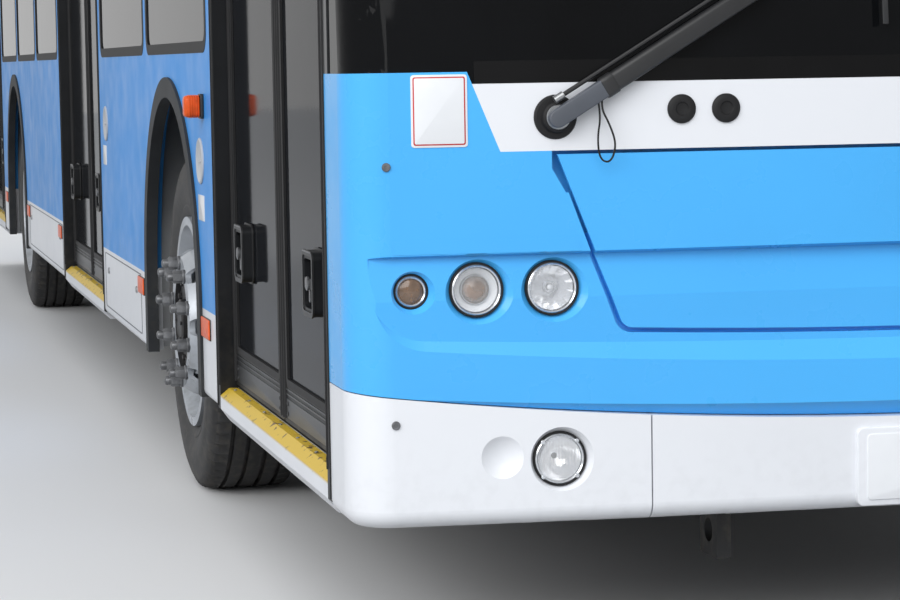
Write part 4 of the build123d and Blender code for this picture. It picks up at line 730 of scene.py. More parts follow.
class TROLLEYBUS_OT_wheels(bpy.types.Operator):
    """Makes the tyres, wheel nuts and hub faces"""

    bl_idname = "trolleybus.wheels"
    bl_label = "Wheels"

    def execute(self, context):
        wheel = context.scene.trolleybus_wheel
        for side, word in SIDES:
            tyre = make_tyre(wheel, wheel.front_x, wheel.outer_y, side)
            dress(tyre, f"tread_front_{word}", f"front_wheel_{word}", "tyre_rubber", 30)
            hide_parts(f"front_tyre_{word}")
            outer = make_tyre(wheel, wheel.rear_x, wheel.outer_y, side)
            inner = make_tyre(wheel, wheel.rear_x, wheel.outer_y - wheel.twin_pitch, side)
            twins = join([outer, inner])
            dress(twins, f"tread_rear_{word}", f"rear_wheels_{word}", "tyre_rubber", 30)
            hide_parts(f"rear_tyres_{word}")
            face = abs(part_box(f"front_rim_{word}")[0 if side < 0 else 1].y)
            nuts = wheel_nuts(wheel, wheel.front_x, face, side)
            dress(nuts, f"wheel_nuts_front_{word}", f"front_wheel_{word}", "nut_steel")
            dress(front_hub(wheel, side), f"hub_face_front_{word}", f"front_wheel_{word}", "hub_iron")
            dress(rear_hub(wheel, side), f"hub_cap_rear_{word}", f"rear_wheels_{word}", "hub_iron")
            nuts = wheel_nuts(wheel, wheel.rear_x, 0.9985, side)
            dress(nuts, f"wheel_nuts_rear_{word}", f"rear_wheels_{word}", "nut_steel")
        return {"FINISHED"}


# Front


LAMP_SEATS = (
    ("front_mask", "side_lamp_y", "lamp_z", "small_radius", "small"),
    ("front_mask", "dipped_y", "lamp_z", "lamp_radius", "projector"),
    ("front_mask", "main_y", "lamp_z", "lamp_radius", "reflector"),
    ("front_bumper", "fog_y", "fog_z", "lamp_radius", "fog"),
)


class TROLLEYBUS_OT_lamps(bpy.types.Operator):
    """Makes the round lamps of the front"""

    bl_idname = "trolleybus.lamps"
    bl_label = "Lamps"

    def execute(self, context):
        front = context.scene.trolleybus_front
        parts = {"gasket": [], "ring": [], "bowl": [], "shroud": [], "lens": [], "smoked": []}
        for side, _ in SIDES:
            for node, y, z, radius, kind in LAMP_SEATS:
                y, z, radius = side * getattr(front, y), getattr(front, z), getattr(front, radius)
                face = skin(node, y, z + radius + 0.014)[0].x - front.set_back
                self.lamp(parts, (face, y, z), radius, kind)
        gasket = dress(parts["gasket"], "lamp_gaskets", BODY, "black_rubber")
        dress(parts["ring"], "lamp_rings", BODY, "lamp_silver")
        dress(parts["bowl"], "lamp_bowls", BODY, "reflector", 20)
        dress(parts["shroud"], "lamp_shrouds", BODY, "plate_white")
        dress(parts["lens"], "lamp_covers", BODY, "lens_clear")
        dress(parts["smoked"], "small_lamp_covers", BODY, "lens_amber")
        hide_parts("front_lamps")
        return {"FINISHED"}

    def lamp(self, parts, centre, radius, kind):
        """One lamp: its gasket, ring, bowl, what the bowl holds, and its cover."""
        gasket = [(radius, -0.05), (radius, 0.0005), (radius - 0.0015, 0.002), (radius - 0.0035, 0.001)]
        parts["gasket"].append(turned(gasket + [(radius - 0.0038, -0.05)], centre, ring=True))
        inner = radius - 0.004
        ring = [(inner, -0.02), (inner, 0.0008), (inner - 0.0025, 0.0032), (inner - 0.005, 0.001)]
        parts["ring"].append(turned(ring + [(inner - 0.0055, -0.02)], centre, ring=True))
        inner -= 0.0055
        bowl = [(inner, -0.006), (inner * 0.86, -0.02), (inner * 0.62, -0.033), (inner * 0.36, -0.041), (0.006, -0.044)]
        steps = 14 if kind == "reflector" else 40
        parts["bowl"].append(turned(bowl + [(0.006, -0.048), (inner, -0.048)], centre, steps=steps, ring=True))
        if kind == "projector":
            shroud = [(inner * 0.97, -0.0065), (0.03, -0.018), (0.0285, -0.026), (0.0275, -0.026)]
            parts["shroud"].append(turned(shroud + [(inner * 0.93, -0.0068)], centre, ring=True))
            trim = [(0.0285, -0.026), (0.0285, -0.012), (0.0272, -0.0105), (0.0262, -0.012), (0.0262, -0.026)]
            parts["ring"].append(turned(trim, centre, ring=True))
            glass = [(0.026, -0.03), (0.026, -0.016), (0.0225, -0.009), (0.016, -0.0045), (0.008, -0.002)]
            parts["smoked"].append(turned(glass + [(0.002, -0.0012)], centre))
        if kind == "reflector":
            bulb = [(0.0065, -0.044), (0.0065, -0.026), (0.005, -0.02), (0.002, -0.018)]
            parts["shroud"].append(turned(bulb, centre, steps=16))
            shield = [(0.0125, -0.03), (0.0125, -0.022), (0.0105, -0.016), (0.0095, -0.016), (0.0105, -0.022)]
            parts["ring"].append(turned(shield + [(0.0105, -0.03)], centre, ring=True))
        if kind == "fog":
            for n in range(4):
                turn = math.radians(45 + 90 * n)
                reach = radius - 0.0055
                place = (centre[1] + reach * math.cos(turn), centre[2] + reach * math.sin(turn))
                parts["ring"].append(put(screw((0, 0), 0.0045), facing((1, 0, 0), (centre[0] + 0.002, *place))))
            for n in range(-5, 6):
                reach = math.sqrt(max(0.0, (inner - 0.004) ** 2 - (0.0062 * n) ** 2))
                ends = [(centre[0] - 0.0045, centre[1] + 0.0062 * n, centre[2] + way * reach) for way in (-1, 1)]
                parts["lens"].append(bar(ends, 0.0026, 8))
        cover = [(inner - 0.0004, -0.006), (inner - 0.0004, -0.002), (inner * 0.8, 0.0012), (inner * 0.5, 0.0032)]
        cover += [(inner * 0.22, 0.0042), (0.002, 0.0044)]
        parts["smoked" if kind == "small" else "lens"].append(turned(cover, centre))


# Name, growth over the plate's size, thickness and finish
SIGN_LAYERS = (
    ("sign_plate", 0.0, 0.0015, "plate_white"),
    ("sign_border", -0.004, 0.0021, "sign_red"),
    ("sign_field", -0.0065, 0.0027, "plate_white"),
)


class TROLLEYBUS_OT_signs(bpy.types.Operator):
    """Makes the blank plates and the small screws of the front"""

    bl_idname = "trolleybus.signs"
    bl_label = "Signs"

    def execute(self, context):
        front = context.scene.trolleybus_front
        self.sign(front)
        self.plate(front)
        self.borders()
        return {"FINISHED"}

    def sign(self, front):
        """The white sign with a red border line."""
        y, z = front.sign_y, front.sign_z
        half_w, half_h = front.sign_width / 2, front.sign_height / 2
        left = skin("front_mask", y - half_w, z)[0]
        right = skin("front_mask", y + half_w, z)[0]
        middle = skin("front_mask", y, z)[0]
        turn = Matrix.Rotation(math.atan2(right.x - left.x, -(right.y - left.y)) + math.pi, 4, "Z")
        x = max(middle.x, (left.x + right.x) / 2)
        for name, grow, thick, finish in SIGN_LAYERS:
            w, h = half_w + grow, half_h + grow
            piece = slab((0, -w, -h), (thick, w, h), 0.006 + grow / 2, 0, 0.0004)
            piece.data.transform(Matrix.Translation((x, y, z)) @ turn)
            dress(piece, name, BODY, finish)

    def plate(self, front):
        """The blank number plate on its pad."""
        half = front.plate_width / 2
        x = skin("front_bumper", 0, front.plate_z)[0].x
        edge = skin("front_bumper", half, front.plate_z)[0].x
        backing = slab((edge - 0.01, -half - 0.02, front.plate_z - front.plate_height / 2 - 0.012),
                   (x + 0.006, half + 0.02, front.plate_z + front.plate_height / 2 + 0.012), 0.012, 0, 0.002)
        dress(backing, "number_plate_pad", BODY, "white")
        plate = slab((x + 0.004, -half, front.plate_z - front.plate_height / 2),
                     (x + 0.0085, half, front.plate_z + front.plate_height / 2), 0.008, 0, 0.001)
        dress(plate, "number_plate", BODY, "plate_white")

    def borders(self):
        """Black borders of the windscreen, the brows over the recess and the corner screws."""
        strips = [wrap("body_glass", (-1.03, 1.1635), (1.03, 1.205))]
        strips.append(wrap("body_glass", (-1.19, 2.5), (1.19, 2.558)))
        dress(strips, "windscreen_borders", BODY, "border_black")
        brows = []
        for side, _ in SIDES:
            y0, y1 = sorted((side * 0.8, side * 1.19))
            brow = wrap("front_mask", (y0, 0.8415), (y1, 0.8665), 0.0003, 0.0006)
            brows.append(brow)
            for vertex in brow.data.vertices:
                raised = vertex.co.x - skin("front_mask", vertex.co.y, vertex.co.z)[0].x
                vertex.co.x = skin("front_mask", vertex.co.y, 0.875)[0].x + 0.0003 + (0.0006 if raised > 0.0006 else 0)
        dress(brows, "recess_brows", BODY, "front_blue")
        heads = []
        for node, y, z in (("front_mask", 1.2, 1.008), ("front_bumper", 1.19, 0.517)):
            for side, _ in SIDES:
                point, normal = skin(node, side * y, z)
                heads.append(put(screw((0, 0), 0.0085), facing(normal, point)))
        dress(heads, "corner_screws", BODY, "nut_steel")


# Wipers


class TROLLEYBUS_OT_wipers(bpy.types.Operator):
    """Makes the wipers and the round caps beside them"""

    bl_idname = "trolleybus.wipers"
    bl_label = "Wipers"

    def execute(self, context):
        front = context.scene.trolleybus_front
        parts = {"black_rubber": [], "grey_plastic": [], "black_plastic": [], "steel": []}
        for side, _ in SIDES:
            self.wiper(parts, front, side)
            for y in (0.541, 0.629):
                point = skin("windscreen_frame", side * y, 1.108)[0]
                cap = [(0.028, -0.006), (0.028, 0.0035), (0.026, 0.0055), (0.019, 0.0075), (0.0135, 0.007)]
                cap += [(0.0115, 0.0045), (0.006, 0.0035), (0.002, 0.0035)]
                parts["black_rubber"].append(turned(cap, point))
        names = {"black_rubber": "wiper_boots", "grey_plastic": "wiper_clamps", "black_plastic": "wiper_arms"}
        names["steel"] = "wiper_rods"
        pieces = [dress(parts[finish], name, BODY, finish) for finish, name in names.items()]
        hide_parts("wipers")
        return {"FINISHED"}

    def wiper(self, parts, front, side):
        """One wiper: boot, clamp, sleeve, rods, blade and the washer hose's loop."""
        x = skin("windscreen_frame", side * 0.91, 1.097)[0].x
        pivot = Vector((x, side * front.wiper_y, front.wiper_z))
        turn = math.radians(front.wiper_angle)
        tip_y = side * (front.wiper_y - front.wiper_arm * math.cos(turn))
        tip = Vector((5.991, tip_y, front.wiper_z + front.wiper_arm * math.sin(turn)))
        boot = [(0.0425, -0.004), (0.0425, 0.004), (0.039, 0.0075), (0.0315, 0.008), (0.0285, 0.013), (0.0285, 0.02)]
        parts["black_rubber"].append(turned(boot + [(0.024, 0.023), (0.006, 0.023)], pivot))
        root = pivot + Vector((0.03, 0, 0))
        reach = (tip - root).length
        lie = leaning(tip - root, (1, 0, 0), root)
        clamp = slab((-0.022, -0.0175, -0.008), (0.125, 0.0175, 0.012), 0.0165, 2, 0.003)
        parts["grey_plastic"].append(put(clamp, lie))
        collar = [(0.0225, -0.011), (0.0235, -0.009), (0.0235, -0.005), (0.0225, -0.003), (0.006, -0.003)]
        parts["steel"].append(turned(collar, root))
        sleeve = slab((0.108, -0.0195, -0.0125), (0.62 * reach, 0.0195, 0.0125), 0.009, 0, 0.003)
        band = slab((0.101, -0.0215, -0.0135), (0.128, 0.0215, 0.0135), 0.01, 0, 0.0025)
        nose = slab((0.6 * reach, -0.014, -0.009), (0.7 * reach, 0.014, 0.009), 0.007, 0, 0.003)
        parts["black_plastic"] += [put(sleeve, lie), put(band, lie), put(nose, lie)]
        rods = [((0.5 * reach, 0, 0), (reach, 0, 0), 0.007)]
        rods.append(((0.02, -side * 0.031, -0.006), (reach - 0.03, -side * 0.031, 0.002), 0.0045))
        rods.append(((reach - 0.03, -side * 0.031, 0.002), (reach, 0, 0), 0.0045))
        for start, end, radius in rods:
            parts["black_plastic"].append(put(bar([start, end], radius), lie))
        pin = turned([(0.008, -0.01), (0.008, 0.01), (0.002, 0.012)], steps=12)
        parts["steel"].append(put(pin, lie @ Matrix.Translation((0.02, -side * 0.031, -0.006))))
        drop = front.wiper_blade * 0.25
        low = Vector((6.009, tip_y, tip.z - drop))
        high = Vector((5.9305, tip_y, low.z + front.wiper_blade))
        blade = leaning(high - low, (1, 0, 0), low)
        length = (high - low).length
        parts["black_plastic"].append(put(slab((0, -0.006, 0.001), (length, 0.006, 0.0065), 0, 0, 0.0015), blade))
        lip = slab((0.004, -0.003, -0.0105), (length - 0.004, 0.003, 0.002), 0, 0, 0.0012)
        parts["black_rubber"].append(put(lip, blade))
        for place in (0.18, 0.42, 0.58, 0.82):
            x = place * length
            claw = slab((x - 0.012, -0.0085, -0.004), (x + 0.012, 0.0085, 0.0045), 0, 0, 0.0015)
            parts["black_plastic"].append(put(claw, blade))
        for start, end in ((0.02, 0.35), (0.65, 0.98)):
            arch = [(start * length, 0, 0.003), ((start + end) / 2 * length, 0, 0.0085), (end * length, 0, 0.003)]
            parts["black_plastic"].append(put(bar(arch, 0.003, 8), blade))
        hang = pivot + Vector((0.03, -side * 0.085, 0.036))
        loop = [(0, 0, 0), (0.002, 0.004, -0.02), (0.004, -0.012, -0.05), (0.004, -0.026, -0.09)]
        loop += [(0.004, -0.014, -0.125), (0.004, 0.008, -0.118), (0.004, 0.012, -0.075), (0.003, 0.004, -0.035)]
        loop += [(0, 0.01, 0.004)]
        points = [hang + Vector((a, side * b, c)) for a, b, c in loop]
        parts["black_rubber"].append(bar(points, 0.0019, 8))


# Doors

DOORS = ("front", "middle", "rear")


class TROLLEYBUS_OT_doors(bpy.types.Operator):
    """Makes the seals, kick plates and handles of the doors, and the doorways' edges"""

    bl_idname = "trolleybus.doors"
    bl_label = "Doors"

    def execute(self, context):
        for door in DOORS:
            for leaf, way in (("fore", -1), ("aft", 1)):
                self.leaf(door, leaf, way)
        self.frames()
        return {"FINISHED"}

    def leaf(self, door, leaf, way):
        """The trim of one leaf; way points from its hinge post to its free edge."""
        low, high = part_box(f"{door}_door_{leaf}_leaf")
        pane_low, pane_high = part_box(f"{door}_door_{leaf}_pane")
        body = f"{door}_door_{leaf}"
        stand = facing((0, -1, 0))
        middle = ((pane_low.x + pane_high.x) / 2, (pane_low.z + pane_high.z) / 2)
        size = (pane_high.x - pane_low.x + 0.014, pane_high.z - pane_low.z + 0.014)
        seals = [hoop(middle, size, 0.024, 0.017, 0.006, DOOR_Y - 0.0035)]
        free = high.x if way > 0 else low.x
        hinge = low.x if way > 0 else high.x
        for inset, radius in ((0.009, 0.0075), (0.026, 0.0055)):
            x = free - way * inset
            seals.append(bar([(x, 0.412, DOOR_Y), (x, 2.272, DOOR_Y)], radius))
        x = hinge + way * 0.008
        seals.append(bar([(x, 0.412, DOOR_Y), (x, 2.272, DOOR_Y)], 0.006))
        dress(put(join(seals), stand), f"{body}_seals", body, "black_rubber")
        left, right = low.x + 0.03, high.x - 0.03
        beads = []
        for z in (0.4655, 0.4765):
            beads.append(slab((left, z, DOOR_Y - 0.001), (right, z + 0.004, DOOR_Y + 0.002), 0, 0, 0.0007))
        beads.append(pad(((left + right) / 2, 0.435), (right - left, 0.044), 0.006, 0.003, DOOR_Y - 0.0015))
        for z in (0.424, 0.446):
            beads.append(screw((hinge + way * 0.05, z), 0.006, DOOR_Y + 0.001))
            beads.append(screw((free - way * 0.05, z), 0.005, DOOR_Y + 0.001))
        dress(put(join(beads), stand), f"{body}_kick_plate", body, "steel_dark")
        x, z = hinge + way * 0.255, 0.75
        grip = [hoop((x, z), (0.124, 0.139), 0.02, 0.011, 0.004, 1.2585)]
        grip.append(hoop((x, z), (0.13, 0.145), 0.022, 0.02, 0.003, DOOR_Y - 0.001))
        dress(put(join(grip), stand), f"{body}_handle_rim", body, "black_plastic")
        latch = [turned([(0.015, 0), (0.015, 0.004), (0.012, 0.0055), (0.003, 0.006)], (x, z, 1.2595), (0, 0, 1), 28)]
        latch.append(pad((x + way * 0.002, z - 0.022), (0.013, 0.036), 0.005, 0.006, 1.2515))
        latch.append(pad((x, z + 0.0665), (0.098, 0.003), 0.0012, 0.003, 1.2605))
        dress(put(join(latch), stand), f"{body}_latch", body, "nut_steel")

    def frames(self):
        """Rubber edges of the doorways, and the rails on their steps."""
        edges, rails = [], []
        stand = facing((0, -1, 0))
        upward = Matrix.Translation((0, 0.3925, 1.2455)) @ Matrix.Rotation(-math.pi / 2, 4, "X")
        for door in DOORS:
            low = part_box(f"{door}_door_aft_leaf")[0].x - 0.051
            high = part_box(f"{door}_door_fore_leaf")[1].x + 0.051
            for x in (low + 0.004, high - 0.004):
                edges.append(bar([(x, 0.345, 1.2745), (x, 2.38, 1.2745)], 0.0035))
            for x in (low + 0.037, high - 0.037):
                edges.append(bar([(x, 0.4, 1.2735), (x, 2.28, 1.2735)], 0.0045))
            edges.append(bar([(low + 0.03, 2.294, 1.2735), (high - 0.03, 2.294, 1.2735)], 0.0045))
            rails.append(slab((low + 0.05, 0.3915, 1.215), (high - 0.05, 0.3945, 1.232), 0, 0, 0.001))
            for n in range(7):
                x = low + 0.1 + (high - low - 0.2) * n / 6
                rails.append(put(screw((x, 0), 0.0045), upward))
        dress(put(join(edges), stand), "door_frame_seals", BODY, "black_rubber")
        dress(put(join(rails), stand), "door_step_rails", BODY, "steel")


# Sides

FLAP_SPANS = {
    -1: ((1.42, 2.5), (-2.1, -0.3)),
    1: ((4.0, 5.6), (1.2, 2.55), (-0.2, 1.1), (-2.1, -0.3), (-5.6, -3.6)),
}


class TROLLEYBUS_OT_sides(bpy.types.Operator):
    """Makes the markers, caps, labels, flaps and window seals of the sides"""

    bl_idname = "trolleybus.sides"
    bl_label = "Sides"

    def execute(self, context):
        self.markers()
        self.window_seals()
        self.flaps()
        return {"FINISHED"}

    def markers(self):
        """Orange reflectors and side lamps."""
        lenses, bases = [], []
        for low, high in solids_of("side_markers"):
            side = 1 if low.y > 0 else -1
            stand = facing((0, side, 0))
            centre = (side * -(low.x + high.x) / 2, (low.z + high.z) / 2)
            size = (high.x - low.x, high.z - low.z)
            proud = max(abs(low.y), abs(high.y)) - SIDE_Y
            if proud > 0.02:
                bases.append(put(pad(centre, size, 0.008, 0.009, SIDE_Y, 0.002), stand))
                lens = pad(centre, (size[0] - 0.006, size[1] - 0.008), 0.012, proud - 0.008, SIDE_Y + 0.008, 0.009)
                lenses.append(put(lens, stand))
                for n in range(5):
                    rise = SIDE_Y + 0.012 + 0.006 * n
                    ridge = hoop(centre, (size[0] - 0.003, size[1] - 0.005), 0.012, 0.004, 0.0015, rise)
                    lenses.append(put(ridge, stand))
            else:
                bases.append(put(hoop(centre, size, 0.004, 0.004, 0.003, SIDE_Y), stand))
                lenses.append(put(pad(centre, (size[0] - 0.004, size[1] - 0.004), 0.003, proud, SIDE_Y, 0.0015), stand))
        lens = dress(lenses, "side_lenses", BODY, "lens_orange")
        dress(bases, "side_lamp_bases", BODY, "black_plastic")
        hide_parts("side_markers")

    def window_seals(self):
        """Rubber round each side window, and the sliding light's rail in its upper part."""
        seals, rails = [], []
        for low, high in solids_of("body_glass"):
            if high.y - low.y > 0.1:
                continue
            side = 1 if low.y > 0 else -1
            stand = facing((0, side, 0))
            centre = (side * -(low.x + high.x) / 2, (low.z + high.z) / 2)
            size = (high.x - low.x + 0.012, high.z - low.z + 0.012)
            seals.append(put(hoop(centre, size, 0.062, 0.03, 0.004, WINDOW_Y), stand))
            if size[0] > 0.6:
                z = high.z - 0.3 * (high.z - low.z)
                rails.append(put(pad((centre[0], z), (size[0] - 0.06, 0.024), 0.004, 0.005, WINDOW_Y), stand))
                for place in (-0.5, 0.5):
                    x = centre[0] + place * (size[0] - 0.07)
                    upright = pad((x, (z + high.z) / 2 - 0.01), (0.014, high.z - z - 0.03), 0.003, 0.004, WINDOW_Y)
                    rails.append(put(upright, stand))
                latch = pad((centre[0], z + 0.03), (0.05, 0.016), 0.006, 0.008, WINDOW_Y)
                rails.append(put(latch, stand))
        dress(seals, "side_window_seals", BODY, "black_rubber")
        dress(rails, "side_window_rails", BODY, "black_metal")

    def flaps(self):
        """Round caps and blank labels near the front right arch, and flaps along both skirts."""
        stand = facing((0, -1, 0))
        caps, labels, seams, locks = [], [], [], []
        for x, z in ((3.93, 0.957), (1.56, 1.01)):
            rim = [(0.06, -0.001), (0.06, 0.003), (0.056, 0.0055), (0.05, 0.0045), (0.047, 0.0025), (0.004, 0.0025)]
            caps.append(turned(rim, (x, z, SIDE_Y), (0, 0, 1), 40))
            caps.append(pad((x, z), (0.034, 0.008), 0.003, 0.004, SIDE_Y + 0.001))
        for x, z in ((3.93, 0.84), (1.5, 0.905)):
            labels.append(pad((x, z - 0.005), (0.11, 0.067), 0.004, 0.0012, SIDE_Y))
        dress(put(join(caps), stand), "side_caps", BODY, "roof_grey")
        dress(put(join(labels), stand), "side_labels", BODY, "plate_white")
        for side, spans in FLAP_SPANS.items():
            stand = facing((0, side, 0))
            for low, high in spans:
                middle = -side * (low + high) / 2
                seam = hoop((middle, 0.463), (high - low, 0.19), 0.012, 0.0035, 0.0016, SIDE_Y - 0.0005)
                seams.append(put(seam, stand))
                for place in (low + 0.12, high - 0.12):
                    locks.append(put(screw((-side * place, 0.5), 0.011, SIDE_Y), stand))
        dress(seams, "skirt_flap_seams", BODY, "grey_plastic")
        dress(locks, "skirt_flap_locks", BODY, "steel")


# Mirrors and rear


class TROLLEYBUS_OT_mirrors(bpy.types.Operator):
    """Makes the outside mirrors"""

    bl_idname = "trolleybus.mirrors"
    bl_label = "Mirrors"

    def execute(self, context):
        shells, arms, glasses = [], [], []
        for side, _ in SIDES:
            y0, y1 = sorted((side * 1.336, side * 1.524))
            shell = slab((5.662, y0, 1.831), (5.748, y1, 2.209), 0.045, 0, 0.018)
            choose(shell, "FACE", lambda f: f.normal.x > 0.9)
            bpy.ops.transform.resize(value=(1, 0.72, 0.86), center_override=(5.74, side * 1.43, 2.02))
            bpy.ops.object.mode_set(mode="OBJECT")
            shells.append(modify(shell, "SUBSURF", levels=1, render_levels=1))
            middle = (side * -1.43, 2.02)
            glasses.append(put(pad(middle, (0.166, 0.346), 0.034, 0.004), facing((-1, 0, 0), (5.658, 0, 0))))
            shells.append(put(hoop(middle, (0.186, 0.366), 0.042, 0.012, 0.008), facing((-1, 0, 0), (5.664, 0, 0))))
            bend = ((1.272, 2.2), (1.33, 2.212), (1.4, 2.215), (1.43, 2.2), (1.43, 2.15))
            arms.append(bar([(5.709, side * y, z) for y, z in bend], 0.0125))
            foot = slab((5.69, side * 1.27 - 0.004, 2.15), (5.73, side * 1.27 + 0.012, 2.232), 0.01, 1, 0.003)
            arms.append(foot)
        shell = dress(shells, "mirror_shells", BODY, "black_plastic", 45)
        dress(arms, "mirror_arms", BODY, "black_metal")
        dress(glasses, "mirror_glasses", BODY, "chrome")
        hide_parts("mirrors")
        return {"FINISHED"}


# Height, finish and slot
REAR_LAMPS = (
    (0.76, "plate_white", "lamp_lens"),
    (0.9, "lens_red", "red_lens"),
    (1.04, "lens_orange", "orange_lens"),
)


class TROLLEYBUS_OT_rear(bpy.types.Operator):
    """Makes the rear lamps, plate, grille and seams"""

    bl_idname = "trolleybus.rear"
    bl_label = "Rear"

    def execute(self, context):
        self.lamps()
        self.panels()
        return {"FINISHED"}

    def lamps(self):
        """Three round lamps at each rear corner."""
        bezels, lenses = [], {finish: [] for _, finish, _ in REAR_LAMPS}
        for side, _ in SIDES:
            for z, finish, _ in REAR_LAMPS:
                centre = (-5.97, side * 1.01, z)
                bezel = [(0.056, -0.02), (0.056, 0.038), (0.053, 0.043), (0.048, 0.041), (0.0475, -0.02)]
                bezels.append(turned(bezel, centre, (-1, 0, 0), ring=True))
                lens = [(0.0472, 0.0), (0.0472, 0.039), (0.042, 0.0445), (0.03, 0.0475), (0.012, 0.049)]
                lenses[finish].append(turned(lens + [(0.002, 0.0492)], centre, (-1, 0, 0)))
                for ridge in (0.0405, 0.03, 0.0195):
                    ring = [(ridge, 0.044), (ridge, 0.0485), (ridge - 0.003, 0.0492), (ridge - 0.004, 0.044)]
                    lenses[finish].append(turned(ring, centre, (-1, 0, 0), ring=True))
        bezel = dress(bezels, "rear_lamp_bezels", BODY, "black_plastic")
        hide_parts("rear_lamps")
        for _, finish, slot in REAR_LAMPS:
            dress(lenses[finish], f"rear_lenses_{finish}", BODY, finish)

    def panels(self):
        """The motor flap's seams and louvres, the window's border, and the number plate and reflectors."""
        seams = []
        for z in (0.62, 1.25):
            seams.append(wrap("rear_wall", (-0.8, z), (0.8, z + 0.006), 0.0004, 0.0012, 32, -1))
        for y in (-0.8, 0.8):
            seams.append(wrap("rear_wall", (y - 0.003, 0.62), (y + 0.003, 1.256), 0.0004, 0.0012, 2, -1))
        for z in (1.384, 2.34):
            seams.append(wrap("body_glass", (-0.955, z), (0.955, z + 0.036), 0.0004, 0.0006, 32, -1))
        for y in (-0.938, 0.938):
            seams.append(wrap("body_glass", (y - 0.017, 1.384), (y + 0.017, 2.376), 0.0004, 0.0006, 2, -1))
        for n in range(11):
            z = 0.7 + 0.03 * n
            seams.append(wrap("rear_wall", (-0.62, z), (-0.12, z + 0.014), 0.0006, 0.004, 20, -1))
        dress(seams, "rear_seams", BODY, "black_plastic")
        bright = [screw((y, 1.19), 0.013) for y in (-0.5, 0.5)]
        bright = [put(piece, facing((-1, 0, 0), (skin("rear_wall", 0.5, 1.19, -1)[0].x, 0, 0))) for piece in bright]
        for y in (-0.55, 0.55):
            hinge = bar([(REAR_X, y - 0.04, 1.253), (REAR_X, y + 0.04, 1.253)], 0.008)
            bright.append(hinge)
        dress(bright, "rear_flap_fittings", BODY, "steel")
        back = facing((-1, 0, 0), (REAR_X, 0, 0))
        plate = put(pad((0, 0.45), (0.52, 0.13), 0.008, 0.004), back)
        dress(plate, "rear_number_plate", BODY, "plate_white")
        rim = put(hoop((0, 0.45), (0.54, 0.15), 0.012, 0.012, 0.006), back)
        dress(rim, "rear_plate_frame", BODY, "black_plastic")
        red = []
        for y in (-0.86, 0.86):
            stand = facing((-1, 0, 0), skin("rear_bumper", y, 0.5, -1)[0])
            red.append(put(pad((0, 0), (0.14, 0.05), 0.004, 0.007), stand))
            red.append(put(hoop((0, 0), (0.15, 0.06), 0.006, 0.005, 0.004), stand))
        dress(red, "rear_reflectors", BODY, "lens_red")


# Roof


class TROLLEYBUS_OT_roof(bpy.types.Operator):
    """Makes the lids and louvres of the roof boxes, and the poles' insulators, clamps and heads"""

    bl_idname = "trolleybus.roof"
    bl_label = "Roof"

    def execute(self, context):
        lids, grilles, eyes = [], [], []
        for low, high in solids_of("roof_equipment"):
            if high.x - low.x > 1.2 and high.y - low.y > 1.0:
                self.container(lids, grilles, eyes, low, high)
        dress(lids, "roof_lids", BODY, "roof_grey")
        dress(grilles, "roof_grilles", BODY, "black_plastic")
        dress(eyes, "roof_lifting_eyes", BODY, "steel")
        for side, word in SIDES:
            self.pole(side, word)
        return {"FINISHED"}

    def container(self, lids, grilles, eyes, low, high):
        """Lids with raised rims, louvres in the sides and lifting eyes on one container."""
        count = max(2, round((high.x - low.x) / 0.9))
        step = (high.x - low.x - 0.16) / count
        wide = high.y - low.y - 0.2
        for n in range(count):
            x = low.x + 0.08 + step * (n + 0.5)
            lid = pad((x, 0), (step - 0.02, wide), 0.03, 0.006, high.z - 0.001, 0.002)
            lids.append(lid)
            lids.append(hoop((x, 0), (step - 0.06, wide - 0.06), 0.025, 0.012, 0.004, high.z + 0.004))
            for place in (-0.4, 0, 0.4):
                eyes.append(screw((x + place * step, wide / 2 - 0.015), 0.008, high.z + 0.004))
                eyes.append(screw((x + place * step, 0.015 - wide / 2), 0.008, high.z + 0.004))
            for side in (-1, 1):
                stand = facing((0, side, 0))
                for row in range(6):
                    z = (low.z + high.z) / 2 + 0.035 + 0.02 * (row - 2.5)
                    slat = pad((-side * x, z), (step * 0.55, 0.009), 0.003, 0.004, high.y - 0.0005, 0.0012)
                    grilles.append(put(slat, stand))

    def pole(self, side, word):
        """Insulating sleeves, clamps and the contact head of one trolley pole."""
        y, z = side * POLE_Y, POLE_Z
        sleeves, clamps, head = [], [], []
        for x, radius in ((-0.1, 0.034), (-5.2, 0.0235)):
            ribs = [(radius, -0.15), (radius, -0.13)]
            for n in range(7):
                place = -0.12 + 0.036 * n
                ribs += [(radius, place), (radius + 0.008, place + 0.008)]
                ribs += [(radius + 0.008, place + 0.012), (radius, place + 0.02)]
            ribs += [(radius, 0.14), (radius, 0.15)]
            sleeves.append(turned(ribs, (x, y, z), (1, 0, 0), 24))
        for x, radius in ((0.12, 0.038), (-0.35, 0.036), (-4.9, 0.026)):
            band = [(radius, -0.02), (radius + 0.003, -0.016), (radius + 0.003, 0.016), (radius, 0.02)]
            clamps.append(turned(band, (x, y, z), (1, 0, 0), 24))
        end_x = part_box(f"trolley_pole_{word}")[0].x
        for way in (-1, 1):
            side_y = y + way * 0.0175
            low, high = (end_x + 0.004, side_y - 0.0045, 3.43), (end_x + 0.126, side_y + 0.0045, 3.5005)
            clamps.append(slab(low, high, 0.012, 1, 0.002))
        head.append(slab((end_x + 0.01, y - 0.0095, 3.44), (end_x + 0.12, y + 0.0095, 3.497), 0.01, 1, 0.003))
        body = f"trolley_pole_{word}"
        dress(sleeves, f"pole_insulators_{word}", body, "insulator")
        dress(clamps, f"pole_clamps_{word}", body, "steel")
        dress(head, f"pole_shoe_{word}", body, "copper")


# Cab


